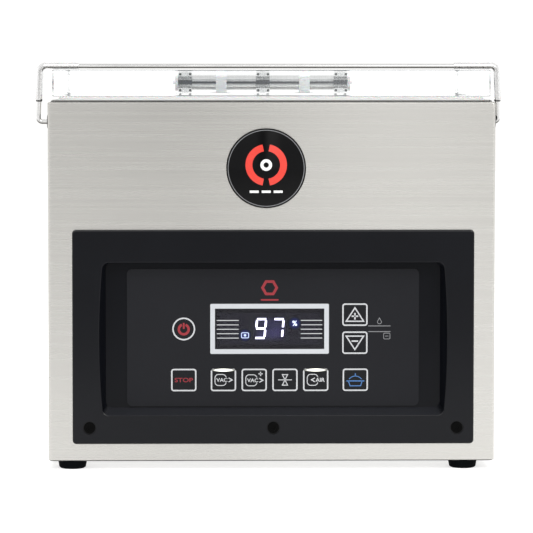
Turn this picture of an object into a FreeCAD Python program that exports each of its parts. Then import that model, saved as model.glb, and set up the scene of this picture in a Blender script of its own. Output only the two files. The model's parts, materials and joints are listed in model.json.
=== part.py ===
"""Tabletop chamber vacuum sealer: steel casing, drawn chamber, thick clear lid on a rear hinge,
wire lid bail, control panel with membrane keys, lifting seal bar, and the vacuum pump with its
electrics underneath.

Millimetres. +Z is up, -Y is the front, and +X is the right-hand side seen from the front.
The origin is on the surface it stands on, under the middle of the machine.
Each function in NODES, at the end, builds the node of its own name, and key_node builds the nine keys.
"""

import FreeCAD
import Part
import math
import os

V = FreeCAD.Vector
X, Y, Z = V(1, 0, 0), V(0, 1, 0), V(0, 0, 1)

# ---- Driving dimensions ------------------------------------------------------------------------
WIDTH = 337.0  # casing, outside
DEPTH = 425.0  # casing, outside
FOOT_H = 7.0
TOP = 277.5  # top face of the casing's upper flange
SHEET = 1.5  # steel sheet of the casing, panels and chamber
FRONT, REAR, SIDE = -DEPTH / 2, DEPTH / 2, WIDTH / 2
PROUD = 3.0  # how far the badge and the power inlet stand out of the casing, front and rear
FLANGE = 16.0  # folded edges of the casing
REAR_FLANGE = 12.0
BASE_FLANGE = 32.0

# Chamber, pressed from one sheet with the deck round its mouth.
DECK_TOP = TOP + SHEET
DECK_SIDE = 165.5
DECK_FRONT, DECK_REAR = FRONT + 4.0, REAR - 3.5
CHAMBER_SIDE = 145.0
CHAMBER_FRONT, CHAMBER_REAR = -185.0, 145.0
CHAMBER_DEPTH = 95.0
CHAMBER_CORNER, CHAMBER_FLOOR_R = 20.0, 12.0
FLOOR_Z = DECK_TOP - CHAMBER_DEPTH
FILLER_HALF, FILLER_FRONT, FILLER_T = 132.0, -150.0, 15.0
FINGER_X = 112.0  # finger holes of the filler board

# Lid: a clear slab on a rear shaft.
LID_SIDE = 165.5
LID_FRONT, LID_REAR = -207.5, 184.5
LID_BOTTOM, LID_TOP = 281.6, 301.6
GASKET_TOP = LID_BOTTOM - 0.1
GASKET_INSET, GASKET_W = 4.0, 8.0
HINGE_Y = LID_REAR + 10.5
HINGE_Z = (LID_BOTTOM + LID_TOP) / 2
SHAFT_R = 6.4
SHAFT_HALF = 72.2
ARM_X = (-66.2, 0.0, 66.2)  # steel arms, clamped on the shaft
ARM_W, ARM_H, ARM_T = 11.6, 17.0, 3.0
ARM_WEB_W, ARM_WINDOW = 5.2, 4.9  # width of the web, and half the height of the gap between an arm's lugs
ARM_SCREW_X, ARM_SCREW_Z, ARM_SCREW_R = 4.2, 6.8, 1.0
BEARING_X = (-35.5, 35.5)  # nylon bearings, fixed to the deck
BEARING_W, BEARING_R = 9.0, 8.5
BEARING_SCREW_Y = HINGE_Y + 11.0
CAP_L, PIN_R, PIN_L = 2.4, 1.3, 2.0  # caps on the shaft's ends
RUNNING = 0.05  # radial clearance of a shaft in its bearing

# Wire bail, pivoted in both sides of the casing, leaning just in front of the lid.
BAIL_WIRE_R, BAIL_SLEEVE_R = 1.75, 2.5
BAIL_Y, BAIL_Z = -204.2, 262.6  # its pivot
BAIL_R = 42.4
BAIL_LEAN = 9.0  # degrees forward of upright, at rest
BAIL_X = -2.4  # it sits over to the left by its end play
BAIL_TOP_X, BAIL_FOOT_X = 171.2, 173.4
BAIL_CORNER_R, BAIL_HOOK_R = 4.5, 3.0
BAIL_END_X = 158.0
BUSH_R, BUSH_FLANGE_T = 4.0, 0.5
SLEEVE_END_LEFT, SLEEVE_END_RIGHT = -145.0, 137.0
SLEEVE_FOOT = 16.7  # height of the sleeves' lower ends above the pivot

# Control panel moulding.
PANEL_X = 1.2
PANEL_W, PANEL_BOTTOM, PANEL_TOP = 303.0, 19.4, 181.4
PANEL_FACE = FRONT - 2.0
RECESS_DEPTH = 10.0
RECESS_FLOOR = PANEL_FACE + RECESS_DEPTH
RECESS_HALF, RECESS_BOW = 129.0, 2.5
RECESS_BOTTOM, RECESS_TOP = 41.0, 156.6
PANEL_EDGE_R, RECESS_EDGE_R = 1.7, 0.8
FLOOR_HALF, FLOOR_BOTTOM, FLOOR_TOP = 126.6, 46.0, 156.0
MOULD_WALL = 3.0
BACK_HALF, BACK_BOTTOM, BACK_TOP = 136.0, 37.0, 160.5  # the moulding's body, behind the casing's front
PANEL_SCREW_X, PANEL_SCREW_Z = 138.7, 31.7
PANEL_SCREW_WELL_R, PANEL_SCREW_SUNK = 5.1, 1.3

# Keypad. Everything printed is centred on LEGEND_X.
OVERLAY_T = 0.8
OVERLAY_W, OVERLAY_BOTTOM, OVERLAY_TOP = 221.0, 47.2, 151.3
LEGEND_X = -1.4
KEY_W, KEY_H, KEY_R = 19.4, 17.3, 2.0
KEY_GAP = 0.15
KEY_PROUD = 0.2
KEY_TRAVEL = 0.5
KEY_ROW_Z, KEY_PITCH, OUTER_KEY_X = 67.0, 23.3, 65.0
PLUS_Z, MINUS_Z = 116.5, 95.2
DISPLAY_Z = 105.8
POWER_R = 8.9
STEM_R, STEM_L = 3.0, 3.9
DISPLAY_W, DISPLAY_H, DISPLAY_BORDER = 89.8, 38.0, 4.0
DIGIT_H, DIGIT_W, DIGIT_PITCH, SEGMENT, DIGIT_LEAN = 15.8, 8.4, 13.3, 1.5, 0.09
SEGMENTS_LIT = {"nine": "abcdfg", "seven": "abc"}
BOARD_FRONT = RECESS_FLOOR + 8.1
DIGIT_FACE = BOARD_FRONT - 6.2
BOARD_HALF, BOARD_BOTTOM, BOARD_TOP, BOARD_T = 85.0, 50.0, 135.0, 1.6

BADGE_X, BADGE_Z, BADGE_R = -4.3, 227.7, 30.0

FOOT_X, FOOT_Y, FOOT_R = (-150.9, 145.5), 201.0, 11.2
SCREW_WELL_R = 4.8

# Seal bar and what it presses against.
SEAL_Y = -165.0
BAR_HALF, BAR_W = 140.0, 14.0
BAR_BOTTOM, BAR_TOP = 236.0, 257.0
SEAL_WIRE_T, TAPE_T = 0.4, 0.3
POST_X, POST_R, POST_BUSH_R = 110.0, 4.0, 7.0
LIFT_BOTTOM, LIFT_R, PISTON_R, LIFT_WALL = 150.0, 18.0, 13.8, 3.0
COUNTER_BOTTOM, COUNTER_W, HOLDER_BOTTOM = 267.6, 9.0, 272.1

# Fittings in the chamber's rear wall.
PORT_X, PORT_Z, PORT_R, PORT_HEAD_R = -60.0, 232.0, 10.0, 14.0
SPIGOT_X, SPIGOT_Z, SPIGOT_R, SPIGOT_L = 60.0, 228.0, 4.0, 16.0
SPIGOT_STEM_R, SPIGOT_FLANGE_R = 5.0, 9.0
FITTING_T = 4.0  # thickness of both fittings' heads inside the chamber

# Rear panel.
INLET_X, INLET_Z = -120.0, 60.0
INLET_SCREW_X = 20.0
INLET_PINS = ((-7.0, -2.0), (0.0, 2.0), (7.0, -2.0))
REAR_SCREW_Z = (30.0, 105.0, 180.0, 250.0)
VENT_X = (-35.0, 40.0, 115.0)
VENT_ROWS, VENT_STEP, VENT_Z, VENT_W, VENT_H = 11, 10.0, 38.0, 58.0, 4.0

# Pump and motor, on one shaft along X.
PUMP_Y, PUMP_Z = 95.0, 78.0
MOTOR_R, MOTOR_LEFT, MOTOR_RIGHT = 56.0, -14.0, 106.0
PUMP_LEFT, PUMP_HALF, PUMP_RISE = -92.0, 52.0, 50.0
AXLE_LEFT, AXLE_RIGHT, AXLE_R = -86.0, 122.0, 7.0
ROTOR_R, ROTOR_L = 29.0, 60.0
CYLINDER_R, CYLINDER_RISE = 34.0, 4.6
PORTS_X, PORT_TOP = (-46.0, -24.0), PUMP_Z + 71
FAN_R, FAN_COVER_R = 42.0, 50.0
BASE_TOP = FOOT_H + 2 * SHEET
MOUNT_RISE = 10.0  # rubber dampers under the pump

# Valves, hoses and electrics.
VALVE_X, VALVE_Y, VALVE_Z = -126.0, 2.0, 130.0
VALVE_HALF_W, VALVE_HALF_L, VALVE_HALF_H = 25.0, 45.0, 14.0
COIL_W, COIL_H, COIL_PITCH = 22.0, 26.0, 28.0
TAIL_X, TAIL_L = 10.0, 14.0
HOSE_R, HOSE_BORE, HOSE_BEND = 8.5, 6.0, 12.0
CORE_LEFT, CORE_RIGHT, CORE_FRONT, CORE_REAR, CORE_H = 70.0, 140.0, -150.0, -90.0, 60.0
MAINS_LEFT, MAINS_RIGHT, MAINS_FRONT, MAINS_REAR = -150.0, -40.0, -170.0, -80.0


# ---- Helpers -----------------------------------------------------------------------------------
def box(x0, x1, y0, y1, z0, z1):
    return Part.makeBox(x1 - x0, y1 - y0, z1 - z0, V(x0, y0, z0))


def rod(axis, radius, start, length):
    """A cylinder from the point start along an axis."""
    return Part.makeCylinder(radius, length, V(*start), axis)


def edges_along(shape, axis, keep=lambda centre: True):
    """The straight edges parallel to an axis whose centres pass a test."""
    return [
        e
        for e in shape.Edges
        if isinstance(e.Curve, Part.Line)
        and abs(e.Curve.Direction.dot(axis)) > 0.999
        and keep(e.CenterOfMass)
    ]


def rounded(shape, axis, radius, keep=lambda centre: True):
    return shape.makeFillet(radius, edges_along(shape, axis, keep))


def softened(shape, radius, keep=lambda centre: True):
    """All edges whose centres pass a test, rounded."""
    return shape.makeFillet(radius, [e for e in shape.Edges if keep(e.CenterOfMass)])


def mirrored(shape):
    """The same shape on the other side of the machine's middle plane."""
    return shape.mirror(V(0, 0, 0), X)


def moved(shape, x=0.0, y=0.0, z=0.0):
    copy = shape.copy()
    copy.translate(V(x, y, z))
    return copy


def group(solids):
    """Separate solids that share one node."""
    return Part.makeCompound(list(solids))


def revolved_z(points, x=0.0, y=0.0):
    """A turned solid about a vertical axis, from its (radius, z) outline."""
    wire = Part.makePolygon([V(r, 0, z) for r, z in points + points[:1]])
    return moved(Part.Face(wire).revolve(V(0, 0, 0), Z, 360), x, y)


def tube_along(points, radius, bend, inner=0.0):
    """A round tube on straight runs joined by tangent arcs of one radius."""
    edges, start = [], points[0]
    for before, corner, after in zip(points, points[1:], points[2:]):
        u, w = (before - corner).normalize(), (after - corner).normalize()
        half = math.acos(max(-1.0, min(1.0, u.dot(w)))) / 2
        reach = bend / math.tan(half)
        a, b = corner + u * reach, corner + w * reach
        middle = corner + (u + w).normalize() * (bend / math.sin(half) - bend)
        edges += [Part.LineSegment(start, a).toShape(), Part.Arc(a, middle, b).toShape()]
        start = b
    edges.append(Part.LineSegment(start, points[-1]).toShape())
    path = Part.Wire(edges)
    direction = points[1] - points[0]

    def swept(r):
        circle = Part.Wire(Part.makeCircle(r, points[0], direction))
        return path.makePipeShell([circle], True, False)

    return swept(radius).cut(swept(inner)) if inner else swept(radius)


def screw(axis, place, head_r, head_h, shank_r, shank_l, socket_r):
    """A socket-head screw whose head stands out along axis from place, with its shank going the other way."""
    at = V(*place)
    head = Part.makeCylinder(head_r, head_h, at, axis)
    head = softened(head, head_h * 0.4, lambda c: (c - at).dot(axis) > head_h * 0.9)
    made = head.fuse(Part.makeCylinder(shank_r, shank_l, at, axis * -1))
    return made.cut(Part.makeCylinder(socket_r, head_h, at + axis * (head_h * 0.45), axis))


# ---- Casing ------------------------------------------------------------------------------------
def panel_screw_places():
    return [(PANEL_X + x, PANEL_SCREW_Z) for x in (-PANEL_SCREW_X, 0.0, PANEL_SCREW_X)]


def rear_screw_places():
    return [(side * (SIDE - SHEET - REAR_FLANGE / 2), z) for side in (-1, 1) for z in REAR_SCREW_Z]


def foot_places():
    return [(x, y) for x in FOOT_X for y in (-FOOT_Y, FOOT_Y)]


def casing():
    """Front and sides folded from one sheet, with flanges for the deck, the base and the rear panel."""
    skin = box(-SIDE, SIDE, FRONT, REAR, FOOT_H, TOP)
    skin = rounded(skin, Z, 2.5, lambda c: c.y < 0)
    skin = softened(skin, 1.4, lambda c: abs(c.z - TOP) < 0.01 and c.y < REAR - 1)
    inner = SIDE - SHEET
    skin = skin.cut(box(-inner, inner, FRONT + SHEET, REAR - 2 * SHEET, FOOT_H + SHEET, TOP - SHEET))
    hole = BACK_HALF + 2
    cuts = [
        box(-inner, inner, REAR - SHEET, REAR + 1, FOOT_H + SHEET, TOP - SHEET),
        box(REAR_FLANGE - inner, inner - REAR_FLANGE, REAR - 4, REAR, FOOT_H + 13, TOP - 12.5),
        box(FLANGE - SIDE, SIDE - FLANGE, FRONT + FLANGE, REAR - FLANGE, TOP - 2, TOP + 1),
        box(BASE_FLANGE - SIDE, SIDE - BASE_FLANGE, FRONT + 42, REAR - 42, FOOT_H - 1, FOOT_H + 2),
        box(PANEL_X - hole, PANEL_X + hole, FRONT - 1, FRONT + 2, BACK_BOTTOM - 2, BACK_TOP + 1.5),
    ]
    cuts += [rod(Y, 2.2, (x, FRONT - 1, z), 4) for x, z in panel_screw_places()]
    cuts += [rod(Y, 2.1, (x, REAR - 4, z), 4) for x, z in rear_screw_places()]
    cuts += [rod(Z, 2.2, (x, y, FOOT_H - 1), 4) for x, y in foot_places()]
    cuts += [rod(X, BUSH_R + RUNNING, (side * SIDE - 3, BAIL_Y, BAIL_Z), 6) for side in (-1, 1)]
    cuts += [rod(Z, 2.1, (x, BEARING_SCREW_Y, TOP - 3), 6) for x in BEARING_X]
    return skin.cut(cuts)


def back_panel():
    """Flat rear panel with three banks of air slots and the power inlet's cut-out."""
    half = SIDE - SHEET - 0.3
    plate = box(-half, half, REAR - SHEET, REAR, FOOT_H + SHEET + 0.3, TOP - SHEET - 0.3)
    slot = box(-VENT_W / 2, VENT_W / 2, REAR - 3, REAR + 1, -VENT_H / 2, VENT_H / 2)
    slot = rounded(slot, Y, VENT_H / 2 - 0.05)
    cuts = [moved(slot, x, 0, VENT_Z + row * VENT_STEP) for x in VENT_X for row in range(VENT_ROWS)]
    cuts += [rod(Y, 2.1, (x, REAR - 4, z), 6) for x, z in rear_screw_places()]
    cuts.append(inlet_box(14, 10.5, REAR - 4, REAR + 1))
    return plate.cut(cuts)


def back_panel_screws():
    return group(screw(Y, (x, REAR, z), 3.6, 2.2, 2.0, 5.0, 1.3) for x, z in rear_screw_places())


def base_plate():
    """Floor of the machine, lying on the casing's lower flange, with air slots under the pump."""
    plate = box(-SIDE + 2, SIDE - 2, FRONT + 2, REAR - 4, FOOT_H + SHEET, BASE_TOP)
    slot = rounded(box(-3, 3, -25, 25, FOOT_H, BASE_TOP + 1), Z, 2.95)
    cuts = [moved(slot, x, y) for x in range(-60, 121, 20) for y in (-20, 60, 130)]
    cuts += [rod(Z, 2.2, (x, y, FOOT_H), 5) for x, y in foot_places()]
    return plate.cut(cuts)


def feet():
    """Tapered rubber feet, each with a well for its screw."""
    outline = [(SCREW_WELL_R, 0), (FOOT_R - 2.4, 0), (FOOT_R - 1.1, 0.9), (FOOT_R, FOOT_H), (2.2, FOOT_H)]
    outline += [(2.2, 4.0), (SCREW_WELL_R, 4.0)]
    return group(revolved_z(outline, x, y) for x, y in foot_places())


def foot_screws():
    return group(screw(Z * -1, (x, y, 4.0), 4.2, 2.4, 2.0, 9.0, 1.5) for x, y in foot_places())


def badge():
    """Domed round badge on a thin rim, stuck on the front."""
    rim = Part.makeCylinder(BADGE_R, 1.0, V(0, 0, 0), Y * -1)
    rise = PROUD - 1.0
    dome_r = (BADGE_R**2 + rise**2) / (2 * rise)
    ball = Part.makeSphere(dome_r, V(0, dome_r - PROUD, 0))
    dome = Part.makeCylinder(BADGE_R - 0.6, PROUD, V(0, -1.0, 0), Y * -1).common(ball)
    return moved(rim.fuse(dome), BADGE_X, FRONT, BADGE_Z)


# ---- Chamber -----------------------------------------------------------------------------------
def tub(grow, top):
    """The chamber's inside, grown by a wall thickness, up to a height."""
    side = CHAMBER_SIDE + grow
    solid = box(-side, side, CHAMBER_FRONT - grow, CHAMBER_REAR + grow, FLOOR_Z - grow, top)
    solid = rounded(solid, Z, CHAMBER_CORNER + grow)
    return softened(solid, CHAMBER_FLOOR_R + grow, lambda c: abs(c.z - FLOOR_Z + grow) < 0.01)


def chamber_tub():
    deck = rounded(box(-DECK_SIDE, DECK_SIDE, DECK_FRONT, DECK_REAR, TOP, DECK_TOP), Z, 4.0)
    shell = deck.fuse(tub(SHEET, DECK_TOP)).cut(tub(0, DECK_TOP + 1))
    cuts = [rod(Y, PORT_R + 0.1, (PORT_X, CHAMBER_REAR - 2, PORT_Z), 8)]
    cuts.append(rod(Y, SPIGOT_STEM_R + 0.1, (SPIGOT_X, CHAMBER_REAR - 2, SPIGOT_Z), 8))
    cuts += [rod(Z, POST_BUSH_R + RUNNING, (side * POST_X, SEAL_Y, FLOOR_Z - 4), 8) for side in (-1, 1)]
    cuts += [rod(Z, 2.1, (x, BEARING_SCREW_Y, TOP - 1), 4) for x in BEARING_X]
    return shell.cut(cuts)


def chamber_gasket():
    """Silicone ring on the deck that the lid closes on."""
    side, front, rear = LID_SIDE - GASKET_INSET, LID_FRONT + GASKET_INSET, LID_REAR - GASKET_INSET
    ring = rounded(box(-side, side, front, rear, DECK_TOP, GASKET_TOP), Z, 10.0)
    side, front, rear = side - GASKET_W, front + GASKET_W, rear - GASKET_W
    ring = ring.cut(rounded(box(-side, side, front, rear, TOP, LID_TOP), Z, 4.0))
    return softened(ring, 0.8, lambda c: abs(c.z - GASKET_TOP) < 0.01)


def filler_plate():
    """White board on the chamber floor that takes up air and carries the bag."""
    top = FLOOR_Z + FILLER_T
    board = rounded(box(-FILLER_HALF, FILLER_HALF, FILLER_FRONT, FILLER_HALF, FLOOR_Z, top), Z, 15.0)
    board = softened(board, 2.0, lambda c: abs(c.z - top) < 0.01)
    finger = rounded(box(-15, 15, -8, 8, FLOOR_Z - 1, top + 1), Z, 7.9)
    return board.cut([moved(finger, x, -10) for x in (-FINGER_X, FINGER_X)])


def suction_port():
    """Fitting through the chamber's rear wall that the air leaves by, with a slotted head inside."""
    y = CHAMBER_REAR
    head = rod(Y, PORT_HEAD_R, (PORT_X, y - FITTING_T, PORT_Z), FITTING_T)
    stem = rod(Y, PORT_R, (PORT_X, y, PORT_Z), 16.0)
    nut = rod(Y, PORT_HEAD_R, (PORT_X, y + SHEET, PORT_Z), 5.0)
    nozzle = rod(Y, HOSE_BORE, (PORT_X, y + 16, PORT_Z), 14.0)
    bore = rod(Y, 4.0, (PORT_X, y - 2.0, PORT_Z), 40.0)
    slot = box(PORT_X - 8, PORT_X + 8, y - 5, y - 1.5, PORT_Z - 0.9, PORT_Z + 0.9)
    slots = [moved(slot, z=rise) for rise in (-6, -2, 2, 6)]
    return head.fuse([stem, nut, nozzle]).cut([bore] + slots)


def container_spigot():
    """Smooth spigot in the chamber for the hose of an outside container."""
    y = CHAMBER_REAR
    flange = rod(Y, SPIGOT_FLANGE_R, (SPIGOT_X, y - FITTING_T, SPIGOT_Z), FITTING_T)
    spigot = rod(Y, SPIGOT_R, (SPIGOT_X, y - FITTING_T - SPIGOT_L, SPIGOT_Z), SPIGOT_L)
    stem = rod(Y, SPIGOT_STEM_R, (SPIGOT_X, y, SPIGOT_Z), 14.0)
    nut = rod(Y, SPIGOT_FLANGE_R, (SPIGOT_X, y + SHEET, SPIGOT_Z), 5.0)
    bore = rod(Y, 2.0, (SPIGOT_X, y - 25, SPIGOT_Z), 50.0)
    return flange.fuse([spigot, stem, nut]).cut(bore)


# ---- Seal bar ----------------------------------------------------------------------------------
def seal_bar():
    """Aluminium bar with a socket underneath for each post."""
    half = BAR_W / 2
    bar = rounded(box(-BAR_HALF, BAR_HALF, SEAL_Y - half, SEAL_Y + half, BAR_BOTTOM, BAR_TOP), X, 1.0)
    return bar.cut([rod(Z, POST_R + 0.02, (s * POST_X, SEAL_Y, BAR_BOTTOM - 1), 9.0) for s in (-1, 1)])


def seal_wires():
    """A flat sealing wire and a thin cutting wire, side by side on the bar."""
    z = BAR_TOP
    reach = BAR_HALF - 3
    wide = box(-reach, reach, SEAL_Y - 3.2, SEAL_Y - 0.2, z, z + SEAL_WIRE_T)
    thin = box(-reach, reach, SEAL_Y + 1.4, SEAL_Y + 2.4, z, z + SEAL_WIRE_T)
    return group([wide, thin])


def seal_tape():
    """Non-stick tape folded over the bar's top and down its sides."""
    reach, wide, top, low = BAR_HALF - 2, BAR_W / 2 + 0.05, BAR_TOP + 0.8, BAR_TOP - 14
    outer = box(-reach, reach, SEAL_Y - wide - TAPE_T, SEAL_Y + wide + TAPE_T, low, top)
    outer = rounded(outer, X, 1.3, lambda c: c.z > BAR_TOP - 1)
    return outer.cut(box(-BAR_HALF, BAR_HALF, SEAL_Y - wide, SEAL_Y + wide, low - 1, top - TAPE_T))


def seal_posts():
    """Lifting posts, each with the piston that pushes it up."""
    piston_z = LIFT_BOTTOM + 6
    piston = rod(Z, PISTON_R, (0, SEAL_Y, piston_z), 6)
    made = piston.fuse(rod(Z, POST_R, (0, SEAL_Y, piston_z + 4), BAR_BOTTOM + 7.8 - piston_z - 4))
    return group([moved(made, -POST_X), moved(made, POST_X)])


def post_bushes():
    """Nylon bushes in the chamber's floor that the posts slide in."""
    outer = rod(Z, POST_BUSH_R, (0, SEAL_Y, FLOOR_Z - 6), 10)
    outer = outer.fuse(rod(Z, POST_BUSH_R + 0.8, (0, SEAL_Y, FLOOR_Z), 3))
    bush = outer.cut(rod(Z, POST_R + RUNNING, (0, SEAL_Y, FLOOR_Z - 8), 20))
    return group([moved(bush, -POST_X), moved(bush, POST_X)])


def lift_cylinders():
    """Closed cylinders under the chamber that raise the seal bar."""
    top, bottom = FLOOR_Z - SHEET, LIFT_BOTTOM
    bore = rod(Z, PISTON_R + 0.2, (0, SEAL_Y, bottom + LIFT_WALL), top - bottom - 2 * LIFT_WALL)
    can = rod(Z, LIFT_R, (0, SEAL_Y, bottom), top - bottom)
    can = can.cut([bore, rod(Z, POST_BUSH_R + RUNNING, (0, SEAL_Y, bottom + 20), 30)])
    return group([moved(can, -POST_X), moved(can, POST_X)])


def counter_bar_holder():
    """Channel under the lid for the silicone strip."""
    half, inner = BAR_W / 2, COUNTER_W / 2 + 0.1
    outer = box(-BAR_HALF, BAR_HALF, SEAL_Y - half, SEAL_Y + half, HOLDER_BOTTOM, LID_BOTTOM)
    reach = BAR_HALF + 1
    channel = box(-reach, reach, SEAL_Y - inner, SEAL_Y + inner, HOLDER_BOTTOM - 1, LID_BOTTOM - 3)
    return outer.cut(channel)


def counter_bar_silicone():
    """Strip that the seal bar presses the bag's mouth against."""
    half = COUNTER_W / 2
    strip = box(-BAR_HALF, BAR_HALF, SEAL_Y - half, SEAL_Y + half, COUNTER_BOTTOM, LID_BOTTOM - 3)
    return rounded(strip, X, 1.5, lambda c: c.z < COUNTER_BOTTOM + 1)


# ---- Lid and hinge -----------------------------------------------------------------------------
def arm_screw_places():
    """x and z of the four screws of every arm's plate."""
    corners = [(dx, dz) for dx in (-ARM_SCREW_X, ARM_SCREW_X) for dz in (-ARM_SCREW_Z, ARM_SCREW_Z)]
    return [(x + dx, HINGE_Z + dz) for x in ARM_X for dx, dz in corners]


def lid_slab():
    """The clear slab, tapped behind for the arms' screws."""
    slab = rounded(box(-LID_SIDE, LID_SIDE, LID_FRONT, LID_REAR, LID_BOTTOM, LID_TOP), Z, 4.0)
    slab = softened(slab, 1.2, lambda c: abs(c.z - LID_TOP) < 0.01 or abs(c.z - LID_BOTTOM) < 0.01)
    return slab.cut([rod(Y, ARM_SCREW_R + 0.06, (x, LID_REAR - 8.2, z), 10) for x, z in arm_screw_places()])


def hinge_shaft():
    """Polished shaft that turns with the lid."""
    return softened(rod(X, SHAFT_R, (-SHAFT_HALF, HINGE_Y, HINGE_Z), 2 * SHAFT_HALF), 0.8)


def hinge_caps():
    """Caps on the shaft's ends, each with a small centre pin."""
    cap = rod(X, SHAFT_R + 0.8, (SHAFT_HALF, HINGE_Y, HINGE_Z), CAP_L)
    cap = cap.fuse(rod(X, PIN_R, (SHAFT_HALF + CAP_L, HINGE_Y, HINGE_Z), PIN_L))
    return group([cap, mirrored(cap)])


def hinge_arm(x):
    """One polished arm: a collar clamped on the shaft, and lugs above and below it on the lid's rear face."""
    wide, high, half = ARM_W / 2, ARM_H / 2, ARM_WEB_W / 2
    y0, y1 = LID_REAR + 0.02, LID_REAR + ARM_T
    z0, z1 = HINGE_Z - high, HINGE_Z + high
    plate = rounded(box(x - wide, x + wide, y0, y1, z0, z1), Y, 1.0)
    window = box(x - wide - 1, x + wide + 1, y0 - 1, HINGE_Y, HINGE_Z - ARM_WINDOW, HINGE_Z + ARM_WINDOW)
    lugs = plate.fuse(box(x - half, x + half, y0, HINGE_Y, z0, z1)).cut(window)
    relief = box(half, wide + 1, y1, HINGE_Y + high + 1, ARM_WINDOW, high + 1)
    reliefs = [relief, mirrored(relief)]
    reliefs += [moved(r, z=-high - 1 - ARM_WINDOW) for r in reliefs]
    collar = rod(X, high, (x - wide, HINGE_Y, HINGE_Z), ARM_W).cut([moved(r, x, 0, HINGE_Z) for r in reliefs])
    holes = [rod(X, SHAFT_R + 0.02, (x - wide - 1, HINGE_Y, HINGE_Z), ARM_W + 2)]
    own = [place for place in arm_screw_places() if abs(place[0] - x) < wide]
    holes += [rod(Y, ARM_SCREW_R + 0.06, (sx, LID_REAR - 1, z), ARM_T + 2) for sx, z in own]
    return lugs.fuse(collar).cut(holes)


def arm_screws():
    y = LID_REAR + ARM_T
    return group(screw(Y, (x, y, z), 1.5, 1.3, ARM_SCREW_R, 10.0, 0.7) for x, z in arm_screw_places())


def hinge_arms():
    return group(hinge_arm(x) for x in ARM_X)


def hinge_bearing(x):
    """White bearing block on the deck, with a foot behind it."""
    half = BEARING_W / 2
    block = box(x - half, x + half, HINGE_Y - BEARING_R, HINGE_Y + BEARING_R, DECK_TOP, HINGE_Z)
    foot_block = rounded(box(x - 8, x + 8, HINGE_Y + 2, DECK_REAR - 0.5, DECK_TOP, DECK_TOP + 4), Z, 2.5)
    made = rod(X, BEARING_R, (x - half, HINGE_Y, HINGE_Z), BEARING_W).fuse([block, foot_block])
    bore = rod(X, SHAFT_R + RUNNING, (x - half - 1, HINGE_Y, HINGE_Z), BEARING_W + 2)
    return made.cut([bore, rod(Z, 2.1, (x, BEARING_SCREW_Y, DECK_TOP - 1), 8)])


def hinge_bearings():
    return group(hinge_bearing(x) for x in BEARING_X)


def bearing_screws():
    return group(screw(Z, (x, BEARING_SCREW_Y, DECK_TOP + 4), 2.3, 2.2, 2.0, 9.0, 1.2) for x in BEARING_X)


# ---- Wire bail ---------------------------------------------------------------------------------
def bail_point(side, x, height):
    """A point of the bail's plane: on one side, at a height up the plane from the pivot axis."""
    lean = math.radians(BAIL_LEAN)
    return V(BAIL_X + side * x, BAIL_Y - height * math.sin(lean), BAIL_Z + height * math.cos(lean))


def bail_wire():
    """The leg, its hooked foot and half of the top run, on each side."""
    halves = []
    for side in (-1, 1):
        end = V(side * BAIL_END_X, BAIL_Y, BAIL_Z)
        foot, corner = bail_point(side, BAIL_FOOT_X, 0), bail_point(side, BAIL_TOP_X, BAIL_R)
        join = foot + (corner - foot) * 0.3
        halves.append(tube_along([end, foot, join], BAIL_WIRE_R, BAIL_HOOK_R))
        middle = bail_point(side, 0, BAIL_R)
        halves.append(tube_along([join, corner, middle], BAIL_WIRE_R, BAIL_CORNER_R))
    return halves[0].multiFuse(halves[1:]).removeSplitter()


def bail_sleeve(side, end_x):
    """Clear tube over one corner of the bail."""
    foot, corner = bail_point(side, BAIL_FOOT_X, 0), bail_point(side, BAIL_TOP_X, BAIL_R)
    low = foot + (corner - foot) * (SLEEVE_FOOT / BAIL_R)
    end = V(end_x, corner.y, corner.z)
    return tube_along([low, corner, end], BAIL_SLEEVE_R, BAIL_CORNER_R, BAIL_WIRE_R + 0.02)


def bail_sleeves():
    return group([bail_sleeve(-1, SLEEVE_END_LEFT), bail_sleeve(1, SLEEVE_END_RIGHT)])


def bail_bushes():
    """Flanged bushes in the casing's sides that the bail turns in, flared where its wire bends."""
    outer = rod(X, BUSH_R, (SIDE - 5, BAIL_Y, BAIL_Z), 5)
    outer = outer.fuse(rod(X, BUSH_R + 0.8, (SIDE, BAIL_Y, BAIL_Z), BUSH_FLANGE_T))
    bore = rod(X, BAIL_WIRE_R + 0.08, (SIDE - 8, BAIL_Y, BAIL_Z), 12)
    flare = Part.makeCone(BAIL_WIRE_R + 0.08, BUSH_R - 0.4, 2.4, V(SIDE - 1.4, BAIL_Y, BAIL_Z), X)
    bush = outer.cut([bore, flare])
    return group([bush, mirrored(bush)])


# ---- Control panel -----------------------------------------------------------------------------
def prism_y(wire, y0, y1):
    return Part.Face(wire).extrude(V(0, y1 - y0, 0))


def recess_outline(y, half, low, high, corner, bow):
    """A rounded rectangle facing -Y whose left and right edges bow outwards."""
    x0, x1 = PANEL_X - half, PANEL_X + half
    mid = (low + high) / 2
    k = corner * (1 - math.sqrt(0.5))

    def arc(a, b, c):
        return Part.Arc(V(a[0], y, a[1]), V(b[0], y, b[1]), V(c[0], y, c[1])).toShape()

    def line(a, b):
        return Part.LineSegment(V(a[0], y, a[1]), V(b[0], y, b[1])).toShape()

    def side(x, out, a, b):
        return arc((x, a), (x + out, mid), (x, b)) if bow else line((x, a), (x, b))

    return Part.Wire([
        line((x0 + corner, low), (x1 - corner, low)),
        arc((x1 - corner, low), (x1 - k, low + k), (x1, low + corner)),
        side(x1, bow, low + corner, high - corner),
        arc((x1, high - corner), (x1 - k, high - k), (x1 - corner, high)),
        line((x1 - corner, high), (x0 + corner, high)),
        arc((x0 + corner, high), (x0 + k, high - k), (x0, high - corner)),
        side(x0, -bow, high - corner, low + corner),
        arc((x0, low + corner), (x0 + k, low + k), (x0 + corner, low)),
    ])


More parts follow.
